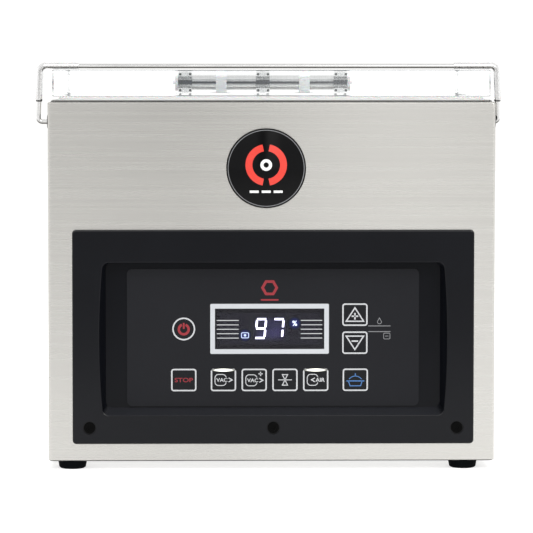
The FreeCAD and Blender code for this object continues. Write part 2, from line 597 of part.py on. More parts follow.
def square_keys():
    """Name, x and z of each square key."""
    row = [("stop", -OUTER_KEY_X, KEY_ROW_Z), ("container", OUTER_KEY_X, KEY_ROW_Z)]
    inner = ("vacuum", "vacuum_plus", "seal", "air")
    row += [(name, (k - 1.5) * KEY_PITCH, KEY_ROW_Z) for k, name in enumerate(inner)]
    row += [("plus", OUTER_KEY_X - 0.4, PLUS_Z), ("minus", OUTER_KEY_X - 0.4, MINUS_Z)]
    return [(name, LEGEND_X + x, z) for name, x, z in row]


def key_places():
    return [("power", LEGEND_X - OUTER_KEY_X, DISPLAY_Z)] + square_keys()


def key_body(name, x, z, grow, y0, y1):
    """The outline of one key as a prism, grown for the hole it moves in."""
    if name == "power":
        return rod(Y, POWER_R + grow, (x, y0, z), y1 - y0)
    w, h = KEY_W / 2 + grow, KEY_H / 2 + grow
    return rounded(box(x - w, x + w, y0, y1, z - h, z + h), Y, KEY_R + grow)


def lens_half():
    """Half the width and half the height of the display's window."""
    return DISPLAY_W / 2 - DISPLAY_BORDER, DISPLAY_H / 2 - DISPLAY_BORDER


def display_box(half_w, half_h, y0, y1):
    """A box centred on the display."""
    return box(LEGEND_X - half_w, LEGEND_X + half_w, y0, y1, DISPLAY_Z - half_h, DISPLAY_Z + half_h)


def control_fascia():
    """Black moulding on the front: a flat lip round a deep recess, whose floor carries the keypad."""
    half = PANEL_W / 2
    lip = box(PANEL_X - half, PANEL_X + half, PANEL_FACE, FRONT, PANEL_BOTTOM, PANEL_TOP)
    lip = rounded(lip, Y, 3.0)
    lip = softened(lip, PANEL_EDGE_R, lambda c: abs(c.y - PANEL_FACE) < 0.01)
    half = BACK_HALF
    back = box(PANEL_X - half, PANEL_X + half, FRONT, RECESS_FLOOR + MOULD_WALL, BACK_BOTTOM, BACK_TOP)
    back = rounded(back, Y, 5.0)
    mouth = recess_outline(PANEL_FACE, RECESS_HALF, RECESS_BOTTOM, RECESS_TOP, 5.0, RECESS_BOW)
    floor = recess_outline(RECESS_FLOOR, FLOOR_HALF, FLOOR_BOTTOM, FLOOR_TOP, 5.0, 0.0)
    moulding = lip.fuse(back).cut(Part.makeLoft([mouth, floor], True, True))

    def on_mouth(c):
        inside = abs(c.x - PANEL_X) < BACK_HALF and RECESS_BOTTOM - 1 < c.z < RECESS_TOP + 1
        return inside and abs(c.y - PANEL_FACE) < 0.01

    moulding = softened(moulding, RECESS_EDGE_R, on_mouth)
    cuts = []
    for name, x, z in key_places():
        cuts.append(key_body(name, x, z, KEY_GAP, RECESS_FLOOR - 0.5, RECESS_FLOOR + 0.9))
        cuts.append(rod(Y, STEM_R + 0.3, (x, RECESS_FLOOR - 1, z), 6))
    w, h = (v - 3.0 for v in lens_half())
    cuts.append(display_box(w, h, RECESS_FLOOR - 1, RECESS_FLOOR + 5))
    for x, z in panel_screw_places():
        cuts.append(rod(Y, 2.2, (x, PANEL_FACE - 1, z), 6))
        cuts.append(rod(Y, PANEL_SCREW_WELL_R, (x, PANEL_FACE - 1, z), 1 + PANEL_SCREW_SUNK))
    return moulding.cut(cuts)


def fascia_screws():
    y = PANEL_FACE + PANEL_SCREW_SUNK
    return group(screw(Y * -1, (x, y, z), 4.3, 1.1, 2.0, 9.0, 1.9) for x, z in panel_screw_places())


def keypad_overlay():
    """Thin sheet on the recess's floor, open for the keys and the display."""
    half = OVERLAY_W / 2
    y0, y1 = RECESS_FLOOR - OVERLAY_T, RECESS_FLOOR
    sheet = rounded(box(PANEL_X - half, PANEL_X + half, y0, y1, OVERLAY_BOTTOM, OVERLAY_TOP), Y, 4.0)
    cuts = [key_body(name, x, z, KEY_GAP, y0 - 1, y1 + 1) for name, x, z in key_places()]
    w, h = lens_half()
    cuts.append(display_box(w, h, y0 - 1, y1 + 1))
    return sheet.cut(cuts)


def display_lens():
    """Tinted window over the digits."""
    w, h = (v - 0.05 for v in lens_half())
    return display_box(w, h, RECESS_FLOOR - OVERLAY_T, RECESS_FLOOR)


def digit_segments(x, lit):
    """The lit bars of one leaning seven-segment digit, centred at x."""
    w, h, t = DIGIT_W / 2, DIGIT_H / 2, SEGMENT
    bars = {
        "a": (-w + t / 2, w - t / 2, h - t, h),
        "g": (-w + t / 2, w - t / 2, -t / 2, t / 2),
        "d": (-w + t / 2, w - t / 2, -h, -h + t),
        "b": (w - t, w, t / 2 + 0.3, h - t - 0.3),
        "c": (w - t, w, -h + t + 0.3, -t / 2 - 0.3),
        "f": (-w, -w + t, t / 2 + 0.3, h - t - 0.3),
        "e": (-w, -w + t, -h + t + 0.3, -t / 2 - 0.3),
    }

    def bar(left, right, low, high):
        corners = [(left, low), (right, low), (right, high), (left, high), (left, low)]
        points = [V(x + px + DIGIT_LEAN * pz, DIGIT_FACE, DISPLAY_Z + pz) for px, pz in corners]
        return Part.Face(Part.makePolygon(points)).extrude(V(0, -0.3, 0))

    return [bar(*bars[letter]) for letter in lit]


def display_segments():
    """The lit bars of the two digits."""
    left, right = LEGEND_X - DIGIT_PITCH / 2, LEGEND_X + DIGIT_PITCH / 2
    return group(digit_segments(left, SEGMENTS_LIT["nine"]) + digit_segments(right, SEGMENTS_LIT["seven"]))


def control_board():
    """Circuit board with the display's module and the switch behind each key."""
    half = BOARD_HALF
    board = box(LEGEND_X - half, LEGEND_X + half, BOARD_FRONT, BOARD_FRONT + BOARD_T, BOARD_BOTTOM, BOARD_TOP)
    module = display_box(15, 11, DIGIT_FACE, BOARD_FRONT + 0.1)
    pressed = RECESS_FLOOR + STEM_L + KEY_TRAVEL + 0.1
    switches = [box(x - 3, x + 3, pressed, BOARD_FRONT + 0.1, z - 3, z + 3) for _, x, z in key_places()]
    return board.fuse([module] + switches)


def key_node(name):
    """One key: the tile that the finger presses and the stem behind it."""
    x, z = next((kx, kz) for n, kx, kz in key_places() if n == name)
    front = RECESS_FLOOR - OVERLAY_T - KEY_PROUD
    tile = key_body(name, x, z, 0.0, front, RECESS_FLOOR + 0.2)
    return tile.fuse(rod(Y, STEM_R, (x, RECESS_FLOOR, z), STEM_L))


# ---- Rear fittings -----------------------------------------------------------------------------
def inlet_box(half_w, half_h, y0, y1):
    """A box centred on the power inlet."""
    return box(INLET_X - half_w, INLET_X + half_w, y0, y1, INLET_Z - half_h, INLET_Z + half_h)


def power_inlet():
    """Three-pole appliance inlet with a flange on the rear panel."""
    flange = rounded(inlet_box(25, 14, REAR, REAR + PROUD), Y, 4.0)
    body = rounded(inlet_box(13.8, 10.2, REAR - 22, REAR), Y, 1.5)
    cavity = inlet_box(12, 8.3, REAR - 13.5, REAR + 5)
    cavity = cavity.makeChamfer(4.0, edges_along(cavity, Y, lambda c: c.z > INLET_Z))
    screws = [rod(Y, 2.0, (INLET_X + s * INLET_SCREW_X, REAR - 1, INLET_Z), 6) for s in (-1, 1)]
    pins = [moved(inlet_box(2.05, 1.05, REAR - 23, REAR - 10), x, 0, z) for x, z in INLET_PINS]
    return flange.fuse(body).cut([cavity] + screws + pins)


def inlet_pins():
    """Live, earth and neutral blades."""
    return group(moved(inlet_box(2, 1, REAR - 28, REAR), x, 0, z) for x, z in INLET_PINS)


# ---- Pump and motor ----------------------------------------------------------------------------
def pump_housing():
    """Iron block with an eccentric cylinder for the rotor, and its two hose ports on top."""
    y0, y1, top = PUMP_Y - PUMP_HALF, PUMP_Y + PUMP_HALF, PUMP_Z + PUMP_RISE
    block = rounded(box(PUMP_LEFT, MOTOR_LEFT, y0, y1, BASE_TOP + MOUNT_RISE + 2, top), X, 8.0)
    fin = box(PUMP_LEFT + 4, PUMP_LEFT + 7, y0, y1, top - 4, top + 6)
    fins = [moved(fin, 9 * k) for k in range(4)]
    ports = [rod(Z, 9.0, (x, PUMP_Y, top - 1), 8) for x in PORTS_X]
    ports += [rod(Z, HOSE_BORE, (x, PUMP_Y, top + 6), PORT_TOP - top - 6) for x in PORTS_X]
    cuts = [
        rod(X, CYLINDER_R, (PUMP_LEFT - 1, PUMP_Y, PUMP_Z + CYLINDER_RISE), ROTOR_L + 3),
        rod(X, AXLE_R + RUNNING, (PUMP_LEFT, PUMP_Y, PUMP_Z), MOTOR_LEFT - PUMP_LEFT + 1),
    ]
    cuts += [rod(Z, 4.5, (x, PUMP_Y, PUMP_Z + 20), 60) for x in PORTS_X]
    return block.fuse(fins + ports).cut(cuts)


def pump_cover():
    """End cover of the pump's cylinder."""
    return rounded(box(PUMP_LEFT - 10, PUMP_LEFT, PUMP_Y - 46, PUMP_Y + 46, PUMP_Z - 42, PUMP_Z + 46), X, 8.0)


def pump_rotor():
    """Rotor with three slots for its vanes."""
    rotor = rod(X, ROTOR_R, (PUMP_LEFT + 0.6, PUMP_Y, PUMP_Z), ROTOR_L)
    slots = []
    for k in range(3):
        low, high = PUMP_Z + 12, PUMP_Z + ROTOR_R + 11
        slot = box(PUMP_LEFT, PUMP_LEFT + ROTOR_L + 2, PUMP_Y - 2, PUMP_Y + 2, low, high)
        slot.rotate(V(0, PUMP_Y, PUMP_Z), X, 120 * k)
        slots.append(slot)
    return rotor.cut(slots + [rod(X, AXLE_R + 0.01, (PUMP_LEFT, PUMP_Y, PUMP_Z), 70)])


def motor_shaft():
    """The one shaft of the pump, motor and fan."""
    return rod(X, AXLE_R, (AXLE_LEFT, PUMP_Y, PUMP_Z), AXLE_RIGHT - AXLE_LEFT)


def motor_housing():
    """Finned aluminium housing between the pump and the fan."""
    body = rod(X, MOTOR_R - 7, (MOTOR_LEFT, PUMP_Y, PUMP_Z), MOTOR_RIGHT - MOTOR_LEFT)
    fins = []
    for k in range(18):
        fin = box(MOTOR_LEFT + 8, MOTOR_RIGHT - 8, PUMP_Y - 1.2, PUMP_Y + 1.2, PUMP_Z + 40, PUMP_Z + MOTOR_R)
        fin.rotate(V(0, PUMP_Y, PUMP_Z), X, 20 * k + 10)
        fins.append(fin)
    bore = rod(X, AXLE_R + RUNNING, (MOTOR_LEFT - 1, PUMP_Y, PUMP_Z), MOTOR_RIGHT - MOTOR_LEFT + 2)
    return body.fuse(fins).cut(bore)


def cooling_fan():
    """Seven-bladed fan on the motor shaft's free end."""
    hub = rod(X, 14.0, (MOTOR_RIGHT + 3, PUMP_Y, PUMP_Z), 12)
    blades = []
    for k in range(7):
        left, right = MOTOR_RIGHT + 3.5, MOTOR_RIGHT + 14.5
        blade = box(left, right, PUMP_Y - 1, PUMP_Y + 1, PUMP_Z + 12, PUMP_Z + FAN_R)
        blade.rotate(V(MOTOR_RIGHT + 9, PUMP_Y, PUMP_Z + 20), Z, 30)
        blade.rotate(V(0, PUMP_Y, PUMP_Z), X, 360 * k / 7)
        blades.append(blade)
    return hub.fuse(blades).cut(rod(X, AXLE_R + 0.01, (MOTOR_RIGHT, PUMP_Y, PUMP_Z), 40))


def fan_cover():
    """Slotted cover over the fan."""
    x0, x1 = MOTOR_RIGHT + 0.2, MOTOR_RIGHT + 24
    cup = rod(X, FAN_COVER_R, (x0, PUMP_Y, PUMP_Z), x1 - x0)
    cup = softened(cup, 6.0, lambda c: c.x > x1 - 1)
    cup = cup.cut(rod(X, FAN_COVER_R - 2, (x0 - 1, PUMP_Y, PUMP_Z), x1 - x0 - 1))
    slot = box(x1 - 4, x1 + 1, PUMP_Y - 26, PUMP_Y + 26, PUMP_Z - 2, PUMP_Z + 2)
    return cup.cut([moved(slot, z=rise) for rise in range(-32, 33, 8)])


# ---- Valves, hoses and electrics ---------------------------------------------------------------
def pump_mounts():
    """Two rails under the pump and the motor, on rubber dampers."""
    low = BASE_TOP + MOUNT_RISE
    rail = box(-12, 12, PUMP_Y - 50, PUMP_Y + 50, low, low + 2)
    dampers = [rod(Z, 9.0, (0, y, BASE_TOP), MOUNT_RISE) for y in (PUMP_Y - 40, PUMP_Y + 40)]
    saddle = box(-12, 12, PUMP_Y - 30, PUMP_Y + 30, low + 2, PUMP_Z - 40)
    saddle = saddle.cut(rod(X, MOTOR_R + 0.2, (-20, PUMP_Y, PUMP_Z), 40))
    under_pump = [rail] + dampers
    under_motor = [rail.fuse(saddle)] + dampers
    return group([moved(s, -70) for s in under_pump] + [moved(s, 60) for s in under_motor])


def valve_block():
    """Manifold with a hose tail towards the pump and one towards the chamber."""
    w, l, h = VALVE_HALF_W, VALVE_HALF_L, VALVE_HALF_H
    block = rounded(box(-w, w, -l, l, -h, h), Z, 3.0)
    tails = [rod(Y, HOSE_BORE, (x, l, 0), TAIL_L) for x in (-TAIL_X, TAIL_X)]
    bores = [rod(Y, 4.0, (x, l - 25, 0), 50) for x in (-TAIL_X, TAIL_X)]
    return moved(block.fuse(tails).cut(bores), VALVE_X, VALVE_Y, VALVE_Z)


def solenoid_valves():
    """Three coils standing on the manifold."""
    half = COIL_W / 2
    coil = rounded(box(-half, half, -half, half, 0, COIL_H), Z, 3.0).fuse(rod(Z, 4.5, (0, 0, COIL_H), 6))
    z = VALVE_Z + VALVE_HALF_H
    return group(moved(coil, VALVE_X, VALVE_Y + k * COIL_PITCH, z) for k in (-1, 0, 1))


def vacuum_hoses():
    """One hose from the manifold to the pump's inlet, one to the port in the chamber's rear wall."""
    x, y, z = VALVE_X + TAIL_X, VALVE_Y + VALVE_HALF_L + 1, VALVE_Z
    top = PORT_TOP + 14
    to_pump = [V(x, y, z), V(x, PUMP_Y, z), V(x, PUMP_Y, top), V(PORTS_X[0], PUMP_Y, top)]
    to_pump.append(V(PORTS_X[0], PUMP_Y, PORT_TOP - 11))
    x, end = VALVE_X - TAIL_X, CHAMBER_REAR + 17
    far = end + 28
    to_chamber = [V(x, y, z), V(x, far, z), V(x, far, PORT_Z), V(PORT_X, far, PORT_Z), V(PORT_X, end, PORT_Z)]
    return group(tube_along(route, HOSE_R, HOSE_BEND, HOSE_BORE + RUNNING) for route in (to_pump, to_chamber))


def transformer():
    """Laminated core of the sealing transformer on its feet, and the winding round its middle limb."""
    x0, x1, y0, y1 = CORE_LEFT, CORE_RIGHT, CORE_FRONT, CORE_REAR
    low, high = BASE_TOP + 3, BASE_TOP + 3 + CORE_H
    windows = [box(x, x + 12, y0 - 1, y1 + 1, low + 12, high - 12) for x in (x0 + 12, x1 - 24)]
    flange = box(x0 - 10, x1 + 10, y0 + 2, y1 - 2, BASE_TOP, low)
    core = box(x0, x1, y0, y1, low, high).fuse(flange).cut(windows)
    limb = box(x0 + 23.9, x1 - 23.9, y0 - 0.2, y1 + 0.2, BASE_TOP, high)
    coil = rounded(box(x0 + 13, x1 - 13, y0 - 8, y1 + 8, low + 13, high - 13), Z, 4.0).cut(limb)
    return group([core, coil])


def power_board():
    """Mains board on standoffs, with its larger components."""
    x0, x1, y0, y1, z = MAINS_LEFT, MAINS_RIGHT, MAINS_FRONT, MAINS_REAR, BASE_TOP + 10
    board = box(x0, x1, y0, y1, z, z + BOARD_T)
    top = z + BOARD_T - 0.1
    capacitors = [rod(Z, 9.0, (x0 + x, y0 + 20, top), 26) for x in (20, 42)]
    relay = box(x0 + 10, x0 + 28, y1 - 32, y1 - 12, top, top + 16.5)
    relays = [moved(relay, 24 * k) for k in range(4)]
    supply = box(x1 - 44, x1 - 10, y0 + 10, y0 + 35, top, top + 22.5)
    standoffs = [rod(Z, 3.0, (x, y, BASE_TOP), 10) for x in (x0 + 6, x1 - 6) for y in (y0 + 6, y1 - 6)]
    return board.fuse(capacitors + relays + [supply] + standoffs)


# ---- Write every node --------------------------------------------------------------------------
NODES = (
    casing, back_panel, back_panel_screws, base_plate, feet, foot_screws, badge,
    chamber_tub, chamber_gasket, filler_plate, suction_port, container_spigot,
    seal_bar, seal_wires, seal_tape, seal_posts, post_bushes, lift_cylinders,
    counter_bar_holder, counter_bar_silicone,
    lid_slab, hinge_shaft, hinge_caps, hinge_arms, arm_screws, hinge_bearings, bearing_screws,
    bail_wire, bail_sleeves, bail_bushes,
    control_fascia, fascia_screws, keypad_overlay, display_lens, display_segments, control_board,
    power_inlet, inlet_pins,
    pump_housing, pump_cover, pump_rotor, motor_shaft, motor_housing, cooling_fan, fan_cover, pump_mounts,
    valve_block, solenoid_valves, vacuum_hoses, transformer, power_board,
)


def write(name, shape):
    shape.exportStep(f"parts/{name}.step")
    print(f"{name:22s} {'ok' if shape.isValid() else 'INVALID'} solids {len(shape.Solids)}")


os.makedirs("parts", exist_ok=True)
for node in NODES:
    write(node.__name__, node())
for name, _, _ in key_places():
    write("key_" + name, key_node(name))
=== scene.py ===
"""Looks, prints, light and camera for the tabletop chamber vacuum sealer.

The frame is in metres: +Z up, -Y the front, origin on the floor under the middle of the machine.
Prints and other added pieces are laid out in millimetres, and made in metres.
"""

import json
import math

import bpy
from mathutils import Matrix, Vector


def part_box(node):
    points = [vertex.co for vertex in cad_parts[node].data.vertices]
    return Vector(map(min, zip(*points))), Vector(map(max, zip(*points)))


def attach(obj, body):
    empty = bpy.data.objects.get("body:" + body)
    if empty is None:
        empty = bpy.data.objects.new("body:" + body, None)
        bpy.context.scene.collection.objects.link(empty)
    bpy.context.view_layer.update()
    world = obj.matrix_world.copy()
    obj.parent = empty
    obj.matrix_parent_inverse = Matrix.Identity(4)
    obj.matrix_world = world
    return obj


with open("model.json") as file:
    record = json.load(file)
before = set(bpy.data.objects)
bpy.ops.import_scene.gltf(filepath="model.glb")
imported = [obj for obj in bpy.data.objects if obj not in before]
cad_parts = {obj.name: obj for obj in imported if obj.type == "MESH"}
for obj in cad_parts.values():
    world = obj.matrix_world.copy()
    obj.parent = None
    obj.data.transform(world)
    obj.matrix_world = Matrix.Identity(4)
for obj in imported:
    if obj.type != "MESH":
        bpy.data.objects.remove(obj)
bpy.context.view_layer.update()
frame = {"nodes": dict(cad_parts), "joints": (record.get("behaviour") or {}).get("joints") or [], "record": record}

MM = 0.001
NOISE_LOW, NOISE_HIGH = 0.3, 0.7  # where nearly all of a noise texture's values lie


# ---- Nodes ----------------------------------------------------------------------------------------
def add_node(tree, kind, inputs=(), **settings):
    """A new node. Each input is given a socket to read or a value to hold."""
    node = tree.nodes.new(kind)
    for key, value in settings.items():
        setattr(node, key, value)
    for key, value in dict(inputs).items():
        if isinstance(value, bpy.types.NodeSocket):
            tree.links.new(value, node.inputs[key])
        else:
            node.inputs[key].default_value = value
    return node


def map_range(tree, value, start, end, low, high, smooth):
    """value from start..end to low..high."""
    inputs = {"Value": value, "From Min": start, "From Max": end, "To Min": low, "To Max": high}
    kind = "SMOOTHSTEP" if smooth else "LINEAR"
    return add_node(tree, "ShaderNodeMapRange", inputs, interpolation_type=kind).outputs[0]


def colour(c):
    """A socket as it is, and a grey or a colour as the four numbers that a socket holds."""
    if isinstance(c, bpy.types.NodeSocket):
        return c
    c = (c, c, c) if isinstance(c, (int, float)) else c
    return (*c, 1.0)


class Look:
    """A material and short ways to add nodes to it. Textures are placed in the machine's frame."""

    def __init__(self, name):
        self.material = bpy.data.materials.new(name)
        self.material.use_nodes = True
        self.tree = self.material.node_tree
        self.shader = self.tree.nodes["Principled BSDF"]
        self.where = self.add("ShaderNodeTexCoord").outputs["Object"]

    def add(self, kind, inputs=(), **settings):
        return add_node(self.tree, kind, inputs, **settings)

    def axis(self, vector, name):
        return self.add("ShaderNodeSeparateXYZ", {0: vector}).outputs[name]

    def noise(self, scale, stretch=(1, 1, 1), detail=3.0):
        """Noise with a number of features to the metre, drawn out where stretch is small."""
        size = [scale * s for s in stretch]
        placed = self.add("ShaderNodeMapping", {"Vector": self.where, "Scale": size})
        inputs = {"Vector": placed.outputs[0], "Scale": 1.0, "Detail": detail}
        return self.add("ShaderNodeTexNoise", inputs).outputs[0]

    def math(self, operation, a, b=0.0):
        return self.add("ShaderNodeMath", {0: a, 1: b}, operation=operation).outputs[0]

    def spread(self, value, low, high, start=NOISE_LOW, end=NOISE_HIGH, smooth=False):
        """value from start..end to low..high."""
        return map_range(self.tree, value, start, end, low, high, smooth)

    def blend(self, share, a, b):
        """Colour a to colour b."""
        pair = {"Factor": share, 6: colour(a), 7: colour(b)}
        return self.add("ShaderNodeMix", pair, data_type="RGBA").outputs[2]

    def relief(self, height, strength, depth):
        bump = self.add("ShaderNodeBump", {"Height": height, "Strength": strength, "Distance": depth})
        self.wire(bump.outputs[0], "Normal")

    def wire(self, value, socket):
        self.tree.links.new(value, self.shader.inputs[socket])

    def set(self, **sockets):
        """Shader sockets by name, with underscores for spaces."""
        for key, value in sockets.items():
            self.shader.inputs[key.replace("_", " ")].default_value = value


# ---- Kinds of finish ------------------------------------------------------------------------------
def surface(name, dark, light, rough, grain=900.0, stretch=(1, 1, 1), broad=14.0, depth=0.05, **sockets):
    """A finish whose fine grain and broad patches drive its colour, roughness and relief.

    dark and light are its colours, rough its least and greatest roughness, and depth the relief in mm.
    """
    look = Look(name)
    fine = look.noise(grain, stretch)
    patches = look.noise(broad, detail=2.0)
    both = look.math("MULTIPLY", look.math("ADD", fine, patches), 0.5)
    look.wire(look.blend(look.spread(both, 0.0, 1.0), dark, light), "Base Color")
    look.wire(look.spread(both, *rough), "Roughness")
    look.relief(fine, 0.35, depth * MM)
    look.set(**sockets)
    return look.material


def steel(name, dark, light, rough, along, depth=0.0015, brushed=0.96):
    """Brushed steel: long thin streaks, with a finer set between them and slow clouds of tone.

    brushed is how far its highlights are drawn out across the streaks.
    """
    look = Look(name)
    lines = look.noise(1500.0, along, 4.0)
    bands = look.noise(420.0, along, 2.0)
    clouds = look.noise(5.0, detail=2.0)
    streaks = look.math("ADD", look.math("MULTIPLY", lines, 0.6), look.math("MULTIPLY", bands, 0.4))
    tone = look.math("ADD", look.math("MULTIPLY", streaks, 0.75), look.math("MULTIPLY", clouds, 0.25))
    look.wire(look.blend(look.spread(tone, 0.0, 1.0), dark, light), "Base Color")
    look.wire(look.spread(streaks, *rough), "Roughness")
    look.relief(streaks, 0.25, depth * MM)
    tangent = look.add("ShaderNodeTangent", direction_type="RADIAL", axis="Z")
    look.wire(tangent.outputs[0], "Tangent")
    look.set(Metallic=1.0, Anisotropic=brushed, Anisotropic_Rotation=0.25)
    return look.material


def clear(name, dark, light, rough, ior, smears=9.0, through=1.0, glow=0.0):
    """Clear plastic with faint smears in its polish.

    through is the share of light that passes, and glow a painted glow: light that the plastic gives out of itself,
    though it is no lamp.
    """
    look = Look(name)
    patches = look.noise(smears, detail=4.0)
    specks = look.noise(700.0)
    look.wire(look.blend(look.spread(patches, 0.0, 1.0), dark, light), "Base Color")
    look.wire(look.spread(patches, *rough), "Roughness")
    look.relief(specks, 0.05, 0.01 * MM)
    look.set(Transmission_Weight=through, IOR=ior)
    look.set(Emission_Color=colour((0.95, 0.98, 1.0)), Emission_Strength=glow)
    return look.material


def lamp(name, tint, strength, glass=0.02):
    """A lit mark: even light with a slight mottle."""
    look = Look(name)
    mottle = look.noise(1200.0)
    look.wire(look.blend(look.spread(mottle, 0.0, 1.0), [c * 0.9 for c in tint], tint), "Emission Color")
    look.wire(look.spread(mottle, 0.3, 0.4), "Roughness")
    look.wire(look.blend(mottle, glass, glass * 1.5), "Base Color")
    look.set(Emission_Strength=strength)
    return look.material


def halo(name, centre, half, tint, strength, base, power):
    """Light that fades from a centre to nothing at an ellipse's edge. centre and half are (x, z) in mm."""
    look = Look(name)
    size = (1 / (half[0] * MM), 0.0, 1 / (half[1] * MM))
    at = (-centre[0] / half[0], 0.0, -centre[1] / half[1])
    placed = look.add("ShaderNodeMapping", {"Vector": look.where, "Scale": size, "Location": at})
    away = look.add("ShaderNodeVectorMath", {0: placed.outputs[0]}, operation="LENGTH").outputs["Value"]
    near = look.spread(away, 1.0, 0.0, 0.0, 1.0, smooth=True)
    mottle = look.noise(1500.0)
    look.wire(look.blend(mottle, base, [c * 1.4 for c in base]), "Base Color")
    look.wire(look.spread(mottle, 0.4, 0.5), "Roughness")
    look.wire(look.math("MULTIPLY", look.math("POWER", near, power), strength), "Emission Strength")
    look.set(Emission_Color=colour(tint), Specular_IOR_Level=0.2)
    return look.material


def polished(name, along, rough, shade, measure, lowest, highest, blur):
    """Drawn bright steel with a dark band painted into its colour: painted shade under the bail wire, a painted
    dark reflection along the shaft, and a dark band on the arms at the shaft's height.

    measure is what places the band: "Normal" for the upward part of the surface's normal, or "Object" for
    height in mm. lowest and highest are the band's ends, and blur how softly they fade.
    """
    look = Look(name)
    up = look.axis(look.add("ShaderNodeTexCoord").outputs[measure], "Z")
    if measure == "Object":
        up = look.math("DIVIDE", up, MM)
    lines = look.noise(1800.0, along)
    wavy = look.math("ADD", up, look.math("MULTIPLY", look.math("SUBTRACT", lines, 0.5), 0.12))
    above = look.spread(wavy, 0.0, 1.0, lowest - blur, lowest + blur, smooth=True)
    below = look.spread(wavy, 1.0, 0.0, highest - blur, highest + blur, smooth=True)
    band = look.math("MULTIPLY", above, below)
    bright = look.blend(look.spread(lines, 0.0, 1.0), 0.78, 0.90)
    look.wire(look.blend(band, bright, shade), "Base Color")
    look.wire(look.spread(lines, *rough), "Roughness")
    look.relief(lines, 0.2, 0.004 * MM)
    look.set(Metallic=1.0)
    return look.material


def glass_cloth(name):
    """Coated glass-cloth tape: a fine plain weave under a smooth brown film."""
    look = Look(name)
    waves = []
    for axis in ("X", "Z"):
        wave = look.add("ShaderNodeTexWave", {"Vector": look.where, "Scale": 420.0, "Distortion": 0.4})
        wave.bands_direction = axis
        waves.append(wave.outputs["Fac"])
    weave = look.math("MULTIPLY", *waves)
    stains = look.noise(60.0)
    share = look.math("MULTIPLY", look.math("ADD", weave, stains), 0.6)
    look.wire(look.blend(share, (0.20, 0.11, 0.045), (0.36, 0.22, 0.10)), "Base Color")
    look.wire(look.spread(weave, 0.32, 0.5, 0.0, 1.0), "Roughness")
    look.relief(weave, 0.3, 0.03 * MM)
    return look.material


def moulding(name):
    """Matt black moulding. Its level faces are lighter in colour, a painted top light as if lit from above. A
    heavier coat where it tilts upward gives its upper rims a painted highlight, and a thinner coat deeper in the
    recess gives painted shade there.
    """
    mouth_y, depth_y = -208.0 * MM, -205.0 * MM
    look = Look(name)
    fine, patches = look.noise(2200.0), look.noise(14.0, detail=2.0)
    both = look.math("MULTIPLY", look.math("ADD", fine, patches), 0.5)
    plastic = look.blend(look.spread(both, 0.0, 1.0), (0.0022, 0.0025, 0.0039), (0.0044, 0.0050, 0.0074))
    up = look.axis(look.add("ShaderNodeTexCoord").outputs["Normal"], "Z")
    # Painted top light: faces that look up are lighter in colour, mottled by the fine grain, as if lit from above.
    level = look.spread(up, 0.0, 1.0, 0.5, 0.95, smooth=True)
    painted_top_light = look.math("MULTIPLY", level, look.spread(fine, 0.7, 1.0))
    look.wire(look.blend(painted_top_light, plastic, (0.020, 0.021, 0.025)), "Base Color")
    look.wire(look.spread(both, 0.38, 0.50), "Roughness")
    # Painted shade and highlight in the coat: it thins deeper in the recess and thickens where the face tilts
    # upward.
    recess_shaded_coat = look.spread(look.axis(look.where, "Y"), 1.0, 0.6, mouth_y, depth_y)
    painted_edge_highlight = look.spread(up, 0.0, 0.6, 0.08, 0.6, smooth=True)
    look.wire(look.math("ADD", look.math("MULTIPLY", recess_shaded_coat, 0.32), painted_edge_highlight), "Coat Weight")
    look.relief(fine, 0.35, 0.04 * MM)
    look.set(Coat_Roughness=0.14, Specular_IOR_Level=0.03)
    return look.material


# ---- The machine's materials ----------------------------------------------------------------------
ALONG_FRONT = (0.005, 0.005, 1.0)  # streaks lie level on every upright face
ALONG_DECK = (0.006, 1.0, 1.0)  # and from side to side on level ones
ALONG_BAR = (0.02, 1.0, 1.0)
ALONG_COIL = (1.0, 1.0, 0.05)
LOOKS = {}


def finish(slot, kind, *values, **sockets):
    """Makes the look of one of the record's material slots."""
    LOOKS[slot] = kind(slot, *values, **sockets)


finish("casing_steel", steel, (0.600, 0.590, 0.564), (0.646, 0.636, 0.610), (0.24, 0.29), ALONG_FRONT)
finish("panel_steel", steel, (0.50, 0.50, 0.49), (0.60, 0.60, 0.59), (0.32, 0.44), ALONG_FRONT)
finish("deck_steel", steel, (0.60, 0.60, 0.585), (0.70, 0.70, 0.685), (0.24, 0.36), ALONG_DECK, brushed=0.3)
finish("screw_steel", surface, 0.45, 0.62, (0.25, 0.4), 2500.0, Metallic=1.0)
finish("bar_aluminium", surface, 0.58, 0.72, (0.25, 0.38), 1400.0, ALONG_BAR, depth=0.02, Metallic=1.0)
finish("wire_nichrome", surface, 0.30, 0.42, (0.25, 0.4), 1500.0, ALONG_BAR, Metallic=1.0)
finish("post_chrome", surface, 0.70, 0.80, (0.08, 0.18), 2000.0, depth=0.005, Metallic=1.0)
finish("pin_brass", surface, (0.60, 0.55, 0.42), (0.72, 0.68, 0.55), (0.2, 0.35), 1500.0, Metallic=1.0)
finish("motor_aluminium", surface, 0.30, 0.42, (0.4, 0.6), 600.0, depth=0.15, Metallic=1.0)
finish("rotor_steel", surface, 0.42, 0.55, (0.2, 0.35), 1500.0, Metallic=1.0)
finish("valve_brass", surface, (0.42, 0.30, 0.12), (0.56, 0.42, 0.18), (0.25, 0.42), 900.0, Metallic=1.0)
